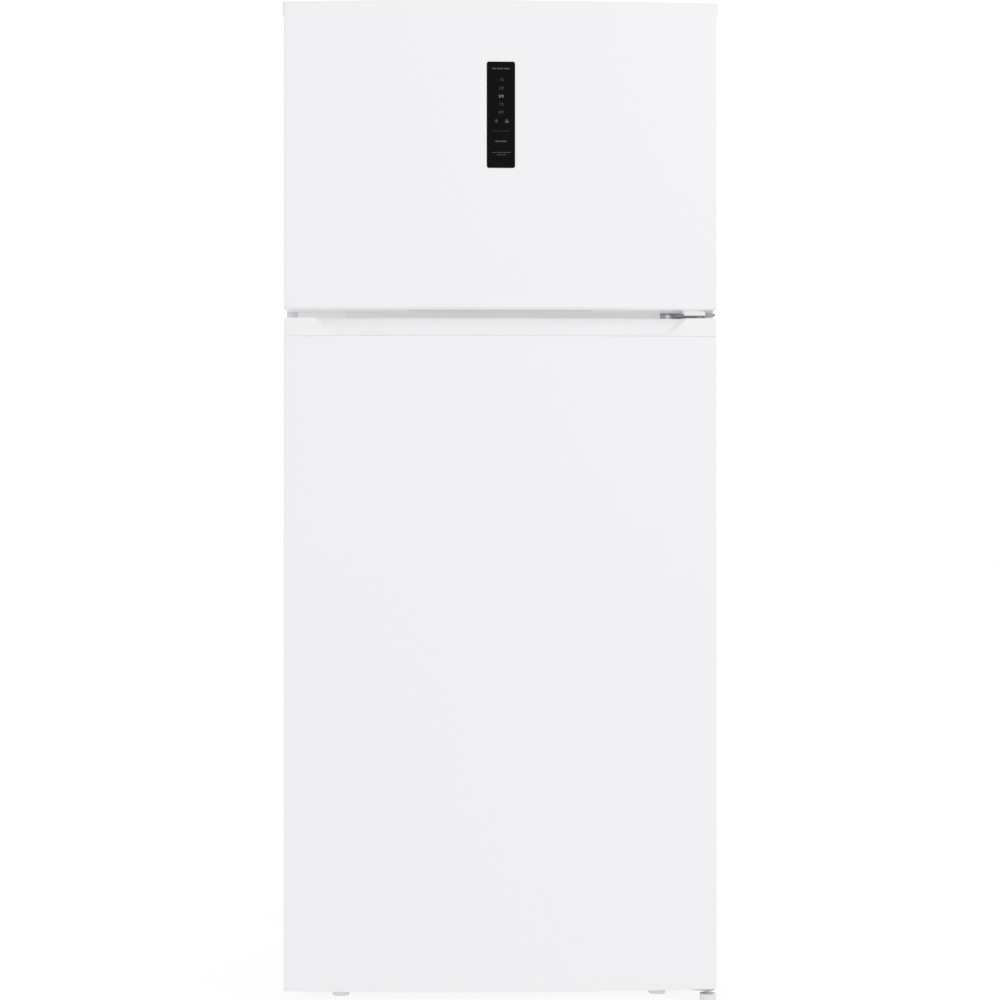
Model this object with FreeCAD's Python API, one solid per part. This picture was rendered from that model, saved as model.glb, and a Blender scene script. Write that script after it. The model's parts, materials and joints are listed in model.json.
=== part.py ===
import FreeCAD, Part
import math
import os

V = FreeCAD.Vector
ALONG_X = V(1, 0, 0)
ALONG_Y = V(0, 1, 0)
ALONG_Z = V(0, 0, 1)

# Top freezer refrigerator, in millimetres. +Z is up, the doors face -Y and the origin lies on
# the floor under the middle of the whole body.

# ---- driving dimensions ----
# overall
WIDTH = 760.0               # over the ears of the upper door's end cap
HEIGHT = 1750.0
DEPTH = 730.0               # display glass to the rear stand-offs
OVER = 1.0                  # how far a cutting tool stands out past the face that it opens
# doors
EAR = 2.0                   # how far the end cap's ears stand out past the door's sides
EAR_HEIGHT = 23.0
EAR_END = 6.0               # left ear's end from the door's back
DOOR_BOW = 18.0             # how far a door's middle stands ahead of its side edges
DOOR_EDGE = 62.0            # thickness of a door at its side edges
DOOR_CORNER = 3.0           # radius of a door's upright front edges
LEAST_CORNER = 0.4          # the same on inner faces, where the wall takes the radius up
UPPER_DOOR = 536.0          # height of the upper door
DOOR_GAP = 15.0             # upright gap between the doors
LOWER_DOOR_FOOT = 26.0      # lower door's bottom above the floor
SKIN = 0.8                  # steel skin of a door
CAP_PLATE = 3.0             # flat of a door's end cap
CAP_SKIRT = 20.0            # how far an end cap reaches into the skin
CAP_WALL = 2.0
GASKET_WIDTH = 18.0
GASKET_DEPTH = 10.0
GASKET_INSET = 4.0          # gasket's outer edge from the door's top and bottom edges
GASKET_TOP = 8.0            # upper gasket's top below the cabinet's top
GASKET_SIDE = 16.0          # gasket's outer edge from the door's side
LOWER_GASKET_FOOT = 24.0    # lower gasket's bottom above the lower door's bottom
# door lining
LINER = 2.0                 # plastic liner wall
RIDGE_INSET = 64.0          # ridge round a door's lining, from the door's side
RIDGE_WIDTH = 14.0
RIDGE_DEPTH = 28.0
RIDGE_GAP = 16.0            # ridge inside the cavity's mouth, above and below
FREEZER_RIDGE_EXTRA = 14.0  # the freezer door's ridge stands this much further in
# handle in the lower door's top cap
HANDLE_CAP = 32.3
HANDLE_CORNER = 5.0
HANDLE_WALL = 2.5
SCOOP_TOP_INSET = 52.0      # scoop's end from the door's side, at the cap's top
SCOOP_FOOT_INSET = 80.0     # and at the scoop's foot
SCOOP_DEPTH = 20.0
SCOOP_SIDE = 0.65           # how much the scoop narrows per millimetre of depth
SCOOP_SILL = 1.6            # height of the scoop's foot above the cap's seam
SCOOP_RUN_OUT = 3.0         # the scoop's tool runs on this far above and below the cap
TOOL_REACH = 5.0            # and tools that cut a door's front start this far ahead of it
GRIP_INSET = 93.0           # end of the groove behind the grip, from the door's side
GRIP_LIP = 5.8              # wall between scoop and groove at the groove's ends
GRIP_BACK = 18.0            # groove's back wall from the door's back
GRIP_DROP = 22.0
UPPER_GRIP_HALF = 160.0     # finger groove under the upper door
UPPER_GRIP_DROP = 14.0
# display
GLASS_WIDTH = 49.0
GLASS_HEIGHT = 184.6
GLASS_RADIUS = 4.0
GLASS_THICK = 3.0
GLASS_PROUD = 0.6
GLASS_GAP = 0.2
GLASS_TOP = 107.0           # glass top below the top of the door
MODULE_DEPTH = 15.0
MODULE_EDGE = 3.0           # module's frame round the glass
# cabinet
CABINET_STEP = 1.0          # cabinet's side behind the door's side
CABINET_TOP = 12.0          # cabinet's top below the top of the door
BASE = 32.0                 # cabinet's underside above the floor
BEAM_HEIGHT = 30.0
SHEET = 0.8
PAN = 1.5
FLANGE = 20.0               # front flange of the side and top sheets
FRIDGE_WALL = 47.0
FREEZER_WALL = 59.0
FREEZER_TOP_WALL = 55.0
BACK_WALL = 55.0
FREEZER_BACK_WALL = 65.0
MULLION_UP = 22.0           # mullion above the upper door's bottom, and below the lower's top
MULLION_DOWN = 23.0
LIP_DEPTH = 12.0            # folded lips behind the mullion
LIP_DROP = 2.0              # lower lip below the lower door's top
FLOOR_WALL = 46.0           # fridge floor above the cabinet's underside
STANDOFF = 10.0             # pads on the rear sheet that keep it off a wall
STANDOFF_HALF = 35.0
STANDOFF_RISE = 30.0
STANDOFF_CORNER = 12.0
STANDOFF_SHARE = 0.66       # pad's middle, as a share of the half width
STANDOFF_LOW = 120.0        # lower pads above the machine compartment
STANDOFF_HIGH = 160.0       # upper pads below the cabinet's top
# machine compartment
MACHINE_DEPTH = 229.0
MACHINE_HEIGHT = 230.0
MACHINE_WALL = 45.0
# hinges
AXIS_SIDE = 12.5            # hinge axis from the door's side, and behind its front edge
AXIS_BACK = 27.4
PIN_R = 5.0
FOOT_PIN_R = 7.0
FIT = 0.08                  # radial clearance of a pin in its bush
SEAT = 0.05                 # radial clearance of a bush in its boss and of a screw in its hole
BUSH_WALL = 3.0
BUSH_FLANGE = 1.0           # bush's flange past its wall
BUSH_EXTRA = 2.0            # bush longer than its pin
BOSS_WALL = 4.0
BOSS_FLOOR = 3.0            # closed end of a boss
PIN_LENGTH = 22.0
HINGE_PLATE = 3.0
ARM_PLATE = 4.0
ARM_END = 10.0              # rounded end of the top arm
TOP_SEAT_IN = 70.0          # top hinge's seat reaches this far in from the axis
TOP_SEAT_FRONT = 6.0        # its front, shoulder and rear edges behind the cabinet's front
TOP_SEAT_SHOULDER = 40.0
TOP_SEAT_BACK = 78.0
TOP_SEAT_ENDS = (18.0, 50.0)
MID_ARM_END = 13.0          # rounded end of the middle arm
MID_PLATE_IN = (80.0, 14.0)     # middle hinge's upright plate, from the axis inward
MID_PLATE_INSET = 1.0           # and short of both doors
MID_ARM_ROOT = (60.0, 43.0)
ARM_LEAD = 12.0             # arm's front edge ahead of the axis
POCKET_SIDE = 20.5          # pocket round the top arm, from the hinge axis
POCKET_FRONT = 20.0
POCKET_DROP = 15.0
COVER_GAP = 0.5
COVER_WALL = 2.0
COVER_IN = 74.0             # top hinge cover's inner edge from the axis
COVER_BACK = 6.0            # and its rear edge behind the seat's
COVER_THIN = 0.6            # its wall at the cabinet's side
MID_COVER = (43.0, 12.0, 6.0)   # middle cover's box and its face plate, from the axis inward
MID_COVER_FACE = 2.3
MID_COVER_LEAD = 14.5
MID_COVER_BACK = 14.0       # middle cover's back ahead of the cabinet's front
FOOT_HINGE_IN = (75.0, 10.0)
FOOT_ARM_ROOT = (48.0, 41.0)
FOOT_DROP = 2.0             # bottom plate under the lower door
SCREW_R = 2.0
SCREW_HEAD_R = 4.0
SCREW_HEAD = 2.2
SCREW_LENGTH = 12.0
TOP_SCREWS = ((55.0, 22.0), (12.0, 22.0), (33.0, 55.0))     # inward from the axis, back from the front
MID_SCREW = 67.0
FOOT_SCREWS = (62.0, 30.0)
BLANK_WIDTH = 79.5          # plate that covers the unused hinge holes
BLANK_INSET = 3.5
BLANK_THICK = 3.0
# feet and rollers
FOOT_R = 15.0
FOOT_DISC = 12.0
FOOT_EDGE = 2.0
FOOT_SIDE = 98.0            # front foot from the overall side
FOOT_BACK = 25.0            # front foot behind the cabinet's front
STEM_R = 5.0
STEM_RISE = 20.0
NUT_WALL = 5.0
NUT_HEIGHT = 16.0
WELL_GAP = 8.0              # free space in the foam round a foot's stem
WELL_RISE = 12.0
HINGE_FOOT_R = 14.5
HINGE_FOOT_HEIGHT = 14.0
HINGE_FOOT_EDGE = 3.5
HINGE_STEM_R = 4.0
HINGE_STEM_RISE = 26.0
NECK_R = 5.5
THREAD_GAP = 0.3
ROLLER_R = 15.0
ROLLER_WIDTH = 12.0
ROLLER_EDGE = 1.5
ROLLER_SIDE = 80.0
ROLLER_BACK = 45.0
ROLLER_GAP = 1.0            # roller to its fork
FORK_HALF = 14.0
FORK_LOW = 7.0              # fork's lower edge above the floor
AXLE_R = 3.0
AXLE_END = 4.0              # axle past the roller's faces
# shelves, bins and drawers
SHELF_GLASS = 5.0
SHELF_TRIM = 12.0
SHELF_TRIM_DROP = 4.0       # front trim below the glass, front and rear trims above it
SHELF_TRIM_RISE = 3.0
SHELF_REAR_RISE = 8.0
SHELF_BITE = 2.0            # how far the trims reach past the glass's edges
SHELF_SETBACK = 115.0       # shelf's front edge behind the cabinet's front
SHELF_SIDE_GAP = 1.5
SHELF_COUNT = 2
CRISPER_RISE = 2.0          # crisper cover above the step
RIB = 8.0
RIB_SETBACK = 15.0
BIN_WALL = 2.5
BIN_DEPTH = 90.0
BIN_HEIGHT = 85.0
BIN_RIM = 10.0
BIN_SIDE_GAP = 0.5
BOTTLE_BIN = 110.0
BOTTLE_BIN_RISE = 12.0      # bottle bin above the crisper cover
UPPER_BIN_SHARES = (0.14, 0.52)     # bins' floors up the freezer door
LUG = 10.0                  # rest for a bin's end on the ridge
FLAP_PIN_R = 2.5
FLAP_BARREL_R = 4.0
FLAP_DROP = 102.0           # dairy flap's pins below the fridge's ceiling
FLAP_BACK = 9.0             # and behind the door's back
FLAP_EAR = 6.0
FLAP_EAR_HALF = 8.0
FLAP_END_GAP = 1.0
FLAP_LIP = 30.0
FLAP_THICK = 2.5
FLAP_OVERHANG = 3.0         # flap past the bin's rim
DRAWER_GAP = 4.0
DRAWER_WALL = 2.5
DRAWER_LIFT = 0.5
DRAWER_HEADROOM = 3.0
DRAWER_SETBACK = 109.0
DRAWER_BACK_GAP = 8.0
PULL_DEPTH = 6.0            # drawer's pull: its depth, drop, and the grip's inset from its ends
PULL_DROP = 28.0
PULL_INSET = 60.0
PULL_WALL = 2.0
# air, cooling and ice
DUCT_HALF = 110.0
DUCT_DEPTH = 18.0
DUCT_FOOT = 30.0            # duct above the crisper cover, and short of the ceiling
DUCT_HEAD = 4.0
DUCT_SLOTS = (60.0, 110.0)  # slots below each shelf, and below the ceiling
DUCT_SLOT = 6.0
DUCT_SLOT_INNER = 25.0
DUCT_SLOT_EDGE = 20.0
FAN_R = 50.0
FAN_GAP = 6.0
FAN_TOP = 23.0              # fan's tip below the freezer's ceiling
FAN_RING = 8.0
FAN_HUB_R = 16.0
FAN_HUB = 18.0
FAN_BLADES = 5
FAN_PITCH = 55.0            # blade's angle to the disc of the fan, in degrees
FAN_CHORD = 26.0
FAN_BLADE = 2.0
FAN_SETBACK = 8.0
SHAFT_R = 2.5
MOTOR_R = 24.0
MOTOR = 22.0
MOTOR_GAP = 3.0
GRILLE_PITCH = 16.0
GRILLE_BAR = 3.0
GRILLE_DEPTH = 2.0
EVAP_SPACE = 85.0           # evaporator cover in front of the freezer's back wall
EVAP_COVER = 3.0
EVAP_EDGE = 1.0
INTAKE_PITCH = 20.0         # slots along the cover's foot
INTAKE_SLOT = 6.0
INTAKE_RISE = (12.0, 42.0)
INTAKE_INSET = 75.0
TUBE_R = 4.0
COIL_PITCH = 30.0
COIL_INSET = 40.0
COIL_FOOT = 50.0
COIL_OFFSET = 6.0
COIL_HEADROOM = 75.0        # free height between the coil and the fan
FIN_COUNT = 13
FIN_THICK = 1.0
FIN_HALF = 25.0
FIN_END = 15.0              # fins past the first and last tube
FIN_INSET = 20.0
ICE_SIDE = 30.0             # ice maker from the freezer's side, shelf's front and cover
ICE_FRONT = 20.0
ICE_BACK = 94.4
ICE_WALL = 3.0
ICE_LIFT = 0.2
ICE_BOX_HEIGHT = 62.0
ICE_BOX_WALL = 2.0
ICE_BOX_GAP = 1.0
ICE_BOX_BACK = 5.0
ICE_RIM = 8.0
TRAY_WIDTH = 96.0
TRAY_DEPTH = 28.0
TRAY_GAP = 4.0
TRAY_WALL = 1.5
TRAY_END = 8.0              # tray from the frame's ends
TRAY_SIDE = 22.0            # and from its sides
TRAY_CELLS = 7
CELL_WALL = 1.6
CELL_DROP = 8.0             # walls between cubes below the rim
TRAY_PIN_R = 5.0
TRAY_LUG = (9.0, 12.0, 7.0)     # pin's lug: half width, below and above the pin
TRAY_LUG_THICK = 2.0
KNOB_R = 17.0
KNOB = 5.0
KNOB_GAP = 1.0
KNOB_GRIP = (15.0, 3.0, 9.0)    # half width, half height and depth of its grip bar
COMPRESSOR_R = 84.0
COMPRESSOR_SIDE = 165.0     # compressor's middle from the side sheet
COMPRESSOR_EDGE = 32.0
COMPRESSOR_HEADROOM = 32.0
COMPRESSOR_SEAM = 3.0
COMPRESSOR_SEAM_HEIGHT = 4.0
COMPRESSOR_FOOT = (100.0, 70.0) # half sizes of its base plate
SADDLE_INSET = 30.0
PORT_R = 4.0
PORT_RISE = 70.0
PORT_SPREAD = 20.0
PORT_LENGTH = 22.0
MOUNT_R = 11.0
MOUNT_HEIGHT = 10.0
MOUNT_PLACES = (86.0, 56.0)
CONDENSER_INSET = 45.0
CONDENSER_RIGHT = 145.0     # its right end from the compressor's middle
CONDENSER_TUBE = 3.0
CONDENSER_HALF = 38.0       # its two banks either side of the middle
CONDENSER_FOOT = 32.0
BRACKET = 1.6
BRACKET_HALF = 52.0
BRACKET_INSET = 60.0
BRACKET_END = 13.0
DRIP_HALF = 95.0
DRIP_GAP = 4.0
DRIP_TOP = 6.0
DRIP_WALL = 1.5
DRIP_BACK = 70.0
VENT_PITCH = 22.0           # slots of the machine cover
VENT_SLOT = (8.0, 36.0)
VENT_RISE = 52.0
VENT_FOOT = 40.0
VENT_CLEAR = 30.0           # none so near the lead's gland
COVER_SIDE_GAP = 3.0
INLET_X = -40.0
INLET_RISE = 25.0
INLET_R = 11.0
INLET_FLANGE_R = 15.0
INLET_FLANGE = 4.0
INLET_BORE = 4.2
INLET_IN = 8.0              # gland in front of the cover, and its end short of the wall
INLET_SHORT = 1.0

# ---- places worked out from them ----
HALF = WIDTH / 2
DOOR_HALF = HALF - EAR
FRONT = -DEPTH / 2
BACK = DEPTH / 2
DOOR_FRONT = FRONT + GLASS_PROUD
DOOR_SHOULDER = DOOR_FRONT + DOOR_BOW
DOOR_BACK = DOOR_SHOULDER + DOOR_EDGE
BOW_R = (DOOR_HALF ** 2 + DOOR_BOW ** 2) / (2 * DOOR_BOW)
UPPER_BOTTOM = HEIGHT - UPPER_DOOR
LOWER_TOP = UPPER_BOTTOM - DOOR_GAP
LOWER_SEAM = LOWER_TOP - HANDLE_CAP
CAB_FRONT = DOOR_BACK + GASKET_DEPTH
CAB_BACK = BACK - STANDOFF
CAB_HALF = DOOR_HALF - CABINET_STEP
CAB_TOP = HEIGHT - CABINET_TOP
INNER = CAB_HALF - SHEET
FLANGE_EDGE = CAB_HALF - FLANGE
MULLION_TOP = UPPER_BOTTOM + MULLION_UP
MULLION_BOTTOM = LOWER_TOP - MULLION_DOWN
PAN_TOP = BASE + PAN
BEAM_TOP = BASE + BEAM_HEIGHT
FLOOR = BASE + FLOOR_WALL
FRIDGE_HALF = CAB_HALF - FRIDGE_WALL
FREEZER_HALF = CAB_HALF - FREEZER_WALL
FRIDGE_BACK = CAB_BACK - BACK_WALL
FREEZER_BACK = CAB_BACK - FREEZER_BACK_WALL
FREEZER_CEILING = CAB_TOP - FREEZER_TOP_WALL
MACHINE_Y = CAB_BACK - MACHINE_DEPTH
MACHINE_TOP = BASE + MACHINE_HEIGHT
STEP_Y = MACHINE_Y - MACHINE_WALL
STEP_TOP = MACHINE_TOP + MACHINE_WALL
AXIS_X = DOOR_HALF - AXIS_SIDE
AXIS_Y = DOOR_SHOULDER + AXIS_BACK
POCKET_FLOOR = HEIGHT - POCKET_DROP
ARM_LOW = LOWER_TOP + (DOOR_GAP - ARM_PLATE) / 2
ARM_TOP = ARM_LOW + ARM_PLATE
FOOT_PLATE_TOP = LOWER_DOOR_FOOT - FOOT_DROP
FOOT_PLATE_LOW = FOOT_PLATE_TOP - ARM_PLATE
BUSH_LENGTH = PIN_LENGTH + BUSH_EXTRA
SCOOP_TOP = DOOR_HALF - SCOOP_TOP_INSET
SCOOP_FOOT = DOOR_HALF - SCOOP_FOOT_INSET
GRIP_HALF = DOOR_HALF - GRIP_INSET
GRIP_BOW = BOW_R - math.sqrt(BOW_R ** 2 - GRIP_HALF ** 2)
GRIP_Y0 = DOOR_FRONT + GRIP_BOW + SCOOP_DEPTH + GRIP_LIP
GRIP_Y1 = DOOR_BACK - GRIP_BACK
GASKET_HALF = DOOR_HALF - GASKET_SIDE
GLASS_Z1 = HEIGHT - GLASS_TOP
GLASS_Z0 = GLASS_Z1 - GLASS_HEIGHT
FOOT_X = HALF - FOOT_SIDE
FOOT_Y = CAB_FRONT + FOOT_BACK
ROLLER_X = HALF - ROLLER_SIDE
ROLLER_Y = CAB_BACK - ROLLER_BACK
SHELF_FRONT = CAB_FRONT + SHELF_SETBACK
CRISPER_LID = STEP_TOP + CRISPER_RISE
SHELF_STEP = (MULLION_BOTTOM - CRISPER_LID) / (SHELF_COUNT + 1)
SHELF_LEVELS = [CRISPER_LID + SHELF_GLASS + (k + 1) * SHELF_STEP for k in range(SHELF_COUNT)]
FREEZER_SHELF_Z = (MULLION_TOP + FREEZER_CEILING) / 2
EVAP_Y = FREEZER_BACK - EVAP_SPACE
FAN_Z = FREEZER_CEILING - FAN_R - FAN_TOP
FLAP_Y = DOOR_BACK + FLAP_BACK
FLAP_Z = MULLION_BOTTOM - FLAP_DROP
DAIRY_BIN_Z = FLAP_Z - FLAP_EAR_HALF - BIN_HEIGHT
BOTTLE_BIN_Z = CRISPER_LID + BOTTLE_BIN_RISE
BIN_LEVELS = [DAIRY_BIN_Z, (DAIRY_BIN_Z + BOTTLE_BIN_Z) / 2, BOTTLE_BIN_Z]
INLET_Z = PAN_TOP + INLET_RISE


# ---- small helpers ----
def box(x0, x1, y0, y1, z0, z1):
    return Part.makeBox(x1 - x0, y1 - y0, z1 - z0, V(x0, y0, z0))


def cylinder(r, x, y, z, length, axis=ALONG_Z):
    return Part.makeCylinder(r, length, V(x, y, z), axis)


def fuse(first, *others):
    return first.multiFuse(list(others)).removeSplitter() if others else first


def cut(solid, *tools):
    return solid.cut(list(tools))


def mirrored(shape):
    return shape.mirror(V(0, 0, 0), ALONG_X)


def between(side, near, far):
    """Two X values in rising order, on the left (-1) or the right (1) of the middle."""
    return sorted((side * near, side * far))


def prism(points, direction):
    """Straight prism over a closed outline of points."""
    return Part.Face(Part.makePolygon(points + [points[0]])).extrude(direction)


def rim_filleted(solid, r, radius):
    """Rounds the full circles of radius r, or larger, of a turned solid."""
    return solid.makeFillet(radius, [e for e in solid.Edges if e.Length > 2 * math.pi * r - 1])


def ring(half, z0, z1, width, y0, y1):
    """Upright rectangular frame, width wide, between two Y planes."""
    hole = box(-half + width, half - width, y0 - OVER, y1 + OVER, z0 + width, z1 - width)
    return cut(box(-half, half, y0, y1, z0, z1), hole)


def tray(x0, x1, y0, y1, z0, z1, wall):
    """Box open at the top."""
    inside = box(x0 + wall, x1 - wall, y0 + wall, y1 - wall, z0 + wall, z1 + OVER)
    return cut(box(x0, x1, y0, y1, z0, z1), inside)


def rounded_plate(x0, x1, z0, z1, y0, y1, r):
    """Upright plate with rounded corners, seen from the front."""
    plate = box(x0, x1, y0, y1, z0, z1)
    edges = [e for e in plate.Edges if abs(e.Vertexes[0].Y - e.Vertexes[-1].Y) > 1e-6]
    return plate.makeFillet(r, edges)


def rounded_arm(points, z0, thick, x, y, r):
    """Flat arm over an outline, with a round end about the hinge axis."""
    return fuse(prism([V(px, py, z0) for px, py in points], V(0, 0, thick)),
                cylinder(r, x, y, z0, thick))


def serpentine(x0, x1, y, z0, pitch, rows, r):
    """Level tube runs joined by half-round bends at alternate ends."""
    pieces = []
    for row in range(rows):
        z = z0 + row * pitch
        pieces.append(cylinder(r, x0, y, z, x1 - x0, ALONG_X))
        if row == rows - 1:
            break
        end = x1 if row % 2 == 0 else x0
        middle = V(end, y, z + pitch / 2)
        keep = box(0, pitch, -2 * r, 2 * r, -pitch, pitch)
        if end == x0:
            keep = mirrored(keep)
        keep.translate(middle)
        bend = Part.makeTorus(pitch / 2, r, middle, ALONG_Y)
        pieces.append(bend.common(keep))
    return fuse(*pieces)


# ---- doors ----
def bow_y(x, inset=0.0):
    """Y of a door's bowed front at x, inset behind the skin's face."""
    return DOOR_FRONT + BOW_R - math.sqrt((BOW_R - inset) ** 2 - x ** 2)


def door_block(z0, z1, inset=0.0, back=DOOR_BACK):
    """Door outline seen from above, bowed in front, between two heights."""
    half = DOOR_HALF - inset
    left = V(-half, bow_y(half, inset), z0)
    right = V(half, bow_y(half, inset), z0)
    edges = [
        Part.Arc(left, V(0, DOOR_FRONT + inset, z0), right).toShape(),
        Part.makeLine(right, V(half, back, z0)),
        Part.makeLine(V(half, back, z0), V(-half, back, z0)),
        Part.makeLine(V(-half, back, z0), left),
    ]
    block = Part.Face(Part.Wire(edges)).extrude(V(0, 0, z1 - z0))
    front = [e for e in block.Edges
             if abs(e.Vertexes[0].Z - e.Vertexes[-1].Z) > 1e-6 and e.Vertexes[0].Y < back - OVER]
    return block.makeFillet(max(DOOR_CORNER - inset, LEAST_CORNER), front)


def door_skin(z0, z1):
    """Sheet folded round a door's front and sides, open at the back."""
    inside = door_block(z0 - OVER, z1 + OVER, SKIN, DOOR_BACK + TOOL_REACH)
    return cut(door_block(z0, z1), inside)


def end_cap(z_out, z_in):
    """Flat end plate of a door with a skirt that sits inside the skin."""
    low, high = min(z_out, z_in), max(z_out, z_in)
    up = 1 if z_in > z_out else -1
    flat = door_block(min(z_out, z_out + up * CAP_PLATE), max(z_out, z_out + up * CAP_PLATE))
    skirt = cut(door_block(low, high, SKIN, DOOR_BACK - LINER),
                door_block(low - OVER, high + OVER, SKIN + CAP_WALL, DOOR_BACK - LINER - CAP_WALL))
    return fuse(flat, skirt)


def bush_at(z0, length, pin_r):
    return cut(cylinder(pin_r + BUSH_WALL, AXIS_X, AXIS_Y, z0, length),
               cylinder(pin_r + FIT, AXIS_X, AXIS_Y, z0 - OVER, length + 2 * OVER))


def bush_flange(z0, z1, pin_r):
    """Thrust collar of a bush, in the gap between a door and its hinge plate."""
    return cut(cylinder(pin_r + BUSH_WALL + BUSH_FLANGE, AXIS_X, AXIS_Y, z0, z1 - z0),
               cylinder(pin_r + FIT, AXIS_X, AXIS_Y, z0 - OVER, z1 - z0 + 2 * OVER))


def boss_at(z0, length, pin_r):
    """Boss round a bush, kept inside the door's skin."""
    round_boss = cylinder(pin_r + BUSH_WALL + BOSS_WALL, AXIS_X, AXIS_Y, z0, length)
    return round_boss.common(door_block(z0 - OVER, z0 + length + OVER, SKIN))


def bush_hole(z0, length, pin_r):
    return cylinder(pin_r + BUSH_WALL + SEAT, AXIS_X, AXIS_Y, z0, length)


def door_lining(z0, z1, mouth, ridge_half, lugs):
    """Plastic inner panel with a hollow ridge, and the foam core that fills the ridge."""
    panel = box(-DOOR_HALF + SKIN, DOOR_HALF - SKIN, DOOR_BACK - LINER, DOOR_BACK, z0, z1)
    low = mouth[0] + RIDGE_GAP
    high = mouth[1] - RIDGE_GAP
    top = DOOR_BACK + RIDGE_DEPTH
    ridge = ring(ridge_half, low, high, RIDGE_WIDTH, DOOR_BACK, top)
    core = ring(ridge_half - LINER, low + LINER, high - LINER, RIDGE_WIDTH - 2 * LINER,
                DOOR_BACK - LINER, top - LINER)
    edge = ridge_half - RIDGE_WIDTH
    rests = []
    for z in lugs:
        for side in (-1, 1):
            x0, x1 = between(side, edge, edge - LUG)
            rests.append(box(x0, x1, DOOR_BACK, top, z - LUG, z))
    return cut(fuse(panel, ridge, *rests), core), core


def door_bin(half, z, height=BIN_HEIGHT):
    """Open bin between the ridges, with a rolled front rim."""
    y0 = DOOR_BACK + BIN_SIDE_GAP
    y1 = DOOR_BACK + BIN_DEPTH
    bin_half = half - BIN_SIDE_GAP
    body = tray(-bin_half, bin_half, y0, y1, z, z + height, BIN_WALL)
    rim = box(-bin_half, bin_half, y1, y1 + BIN_WALL, z + height - BIN_RIM, z + height)
    return fuse(body, rim)


def grip_groove(half, z0, z1):
    return box(-half, half, GRIP_Y0, GRIP_Y1, z0, z1)


def grip_groove_wall(half, z0, z1):
    return box(-half - CAP_WALL, half + CAP_WALL, GRIP_Y0 - CAP_WALL, GRIP_Y1 + CAP_WALL, z0, z1)


def hinge_pocket():
    """Corner of the upper door that the top hinge's arm swings in."""
    return box(AXIS_X - POCKET_SIDE, HALF + OVER, AXIS_Y - POCKET_FRONT, DOOR_BACK + OVER,
               POCKET_FLOOR, HEIGHT + OVER)


def hinge_pocket_lining():
    return box(AXIS_X - POCKET_SIDE - CAP_WALL, DOOR_HALF - SKIN, AXIS_Y - POCKET_FRONT - CAP_WALL,
               DOOR_BACK - LINER, POCKET_FLOOR - CAP_WALL, HEIGHT - CAP_PLATE)


def cap_ears():
    """Small ears of the upper cap that stand out past the skin's sides."""
    y0 = DOOR_SHOULDER + DOOR_CORNER
    y1 = AXIS_Y - POCKET_FRONT
    z0 = HEIGHT - EAR_HEIGHT
    return fuse(box(-HALF, -DOOR_HALF, y0, DOOR_BACK - EAR_END, z0, HEIGHT),
                box(DOOR_HALF, HALF, y0, y1, z0, HEIGHT),
                box(-HALF, HALF, y0, y1, HEIGHT - CAP_PLATE, HEIGHT))


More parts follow.
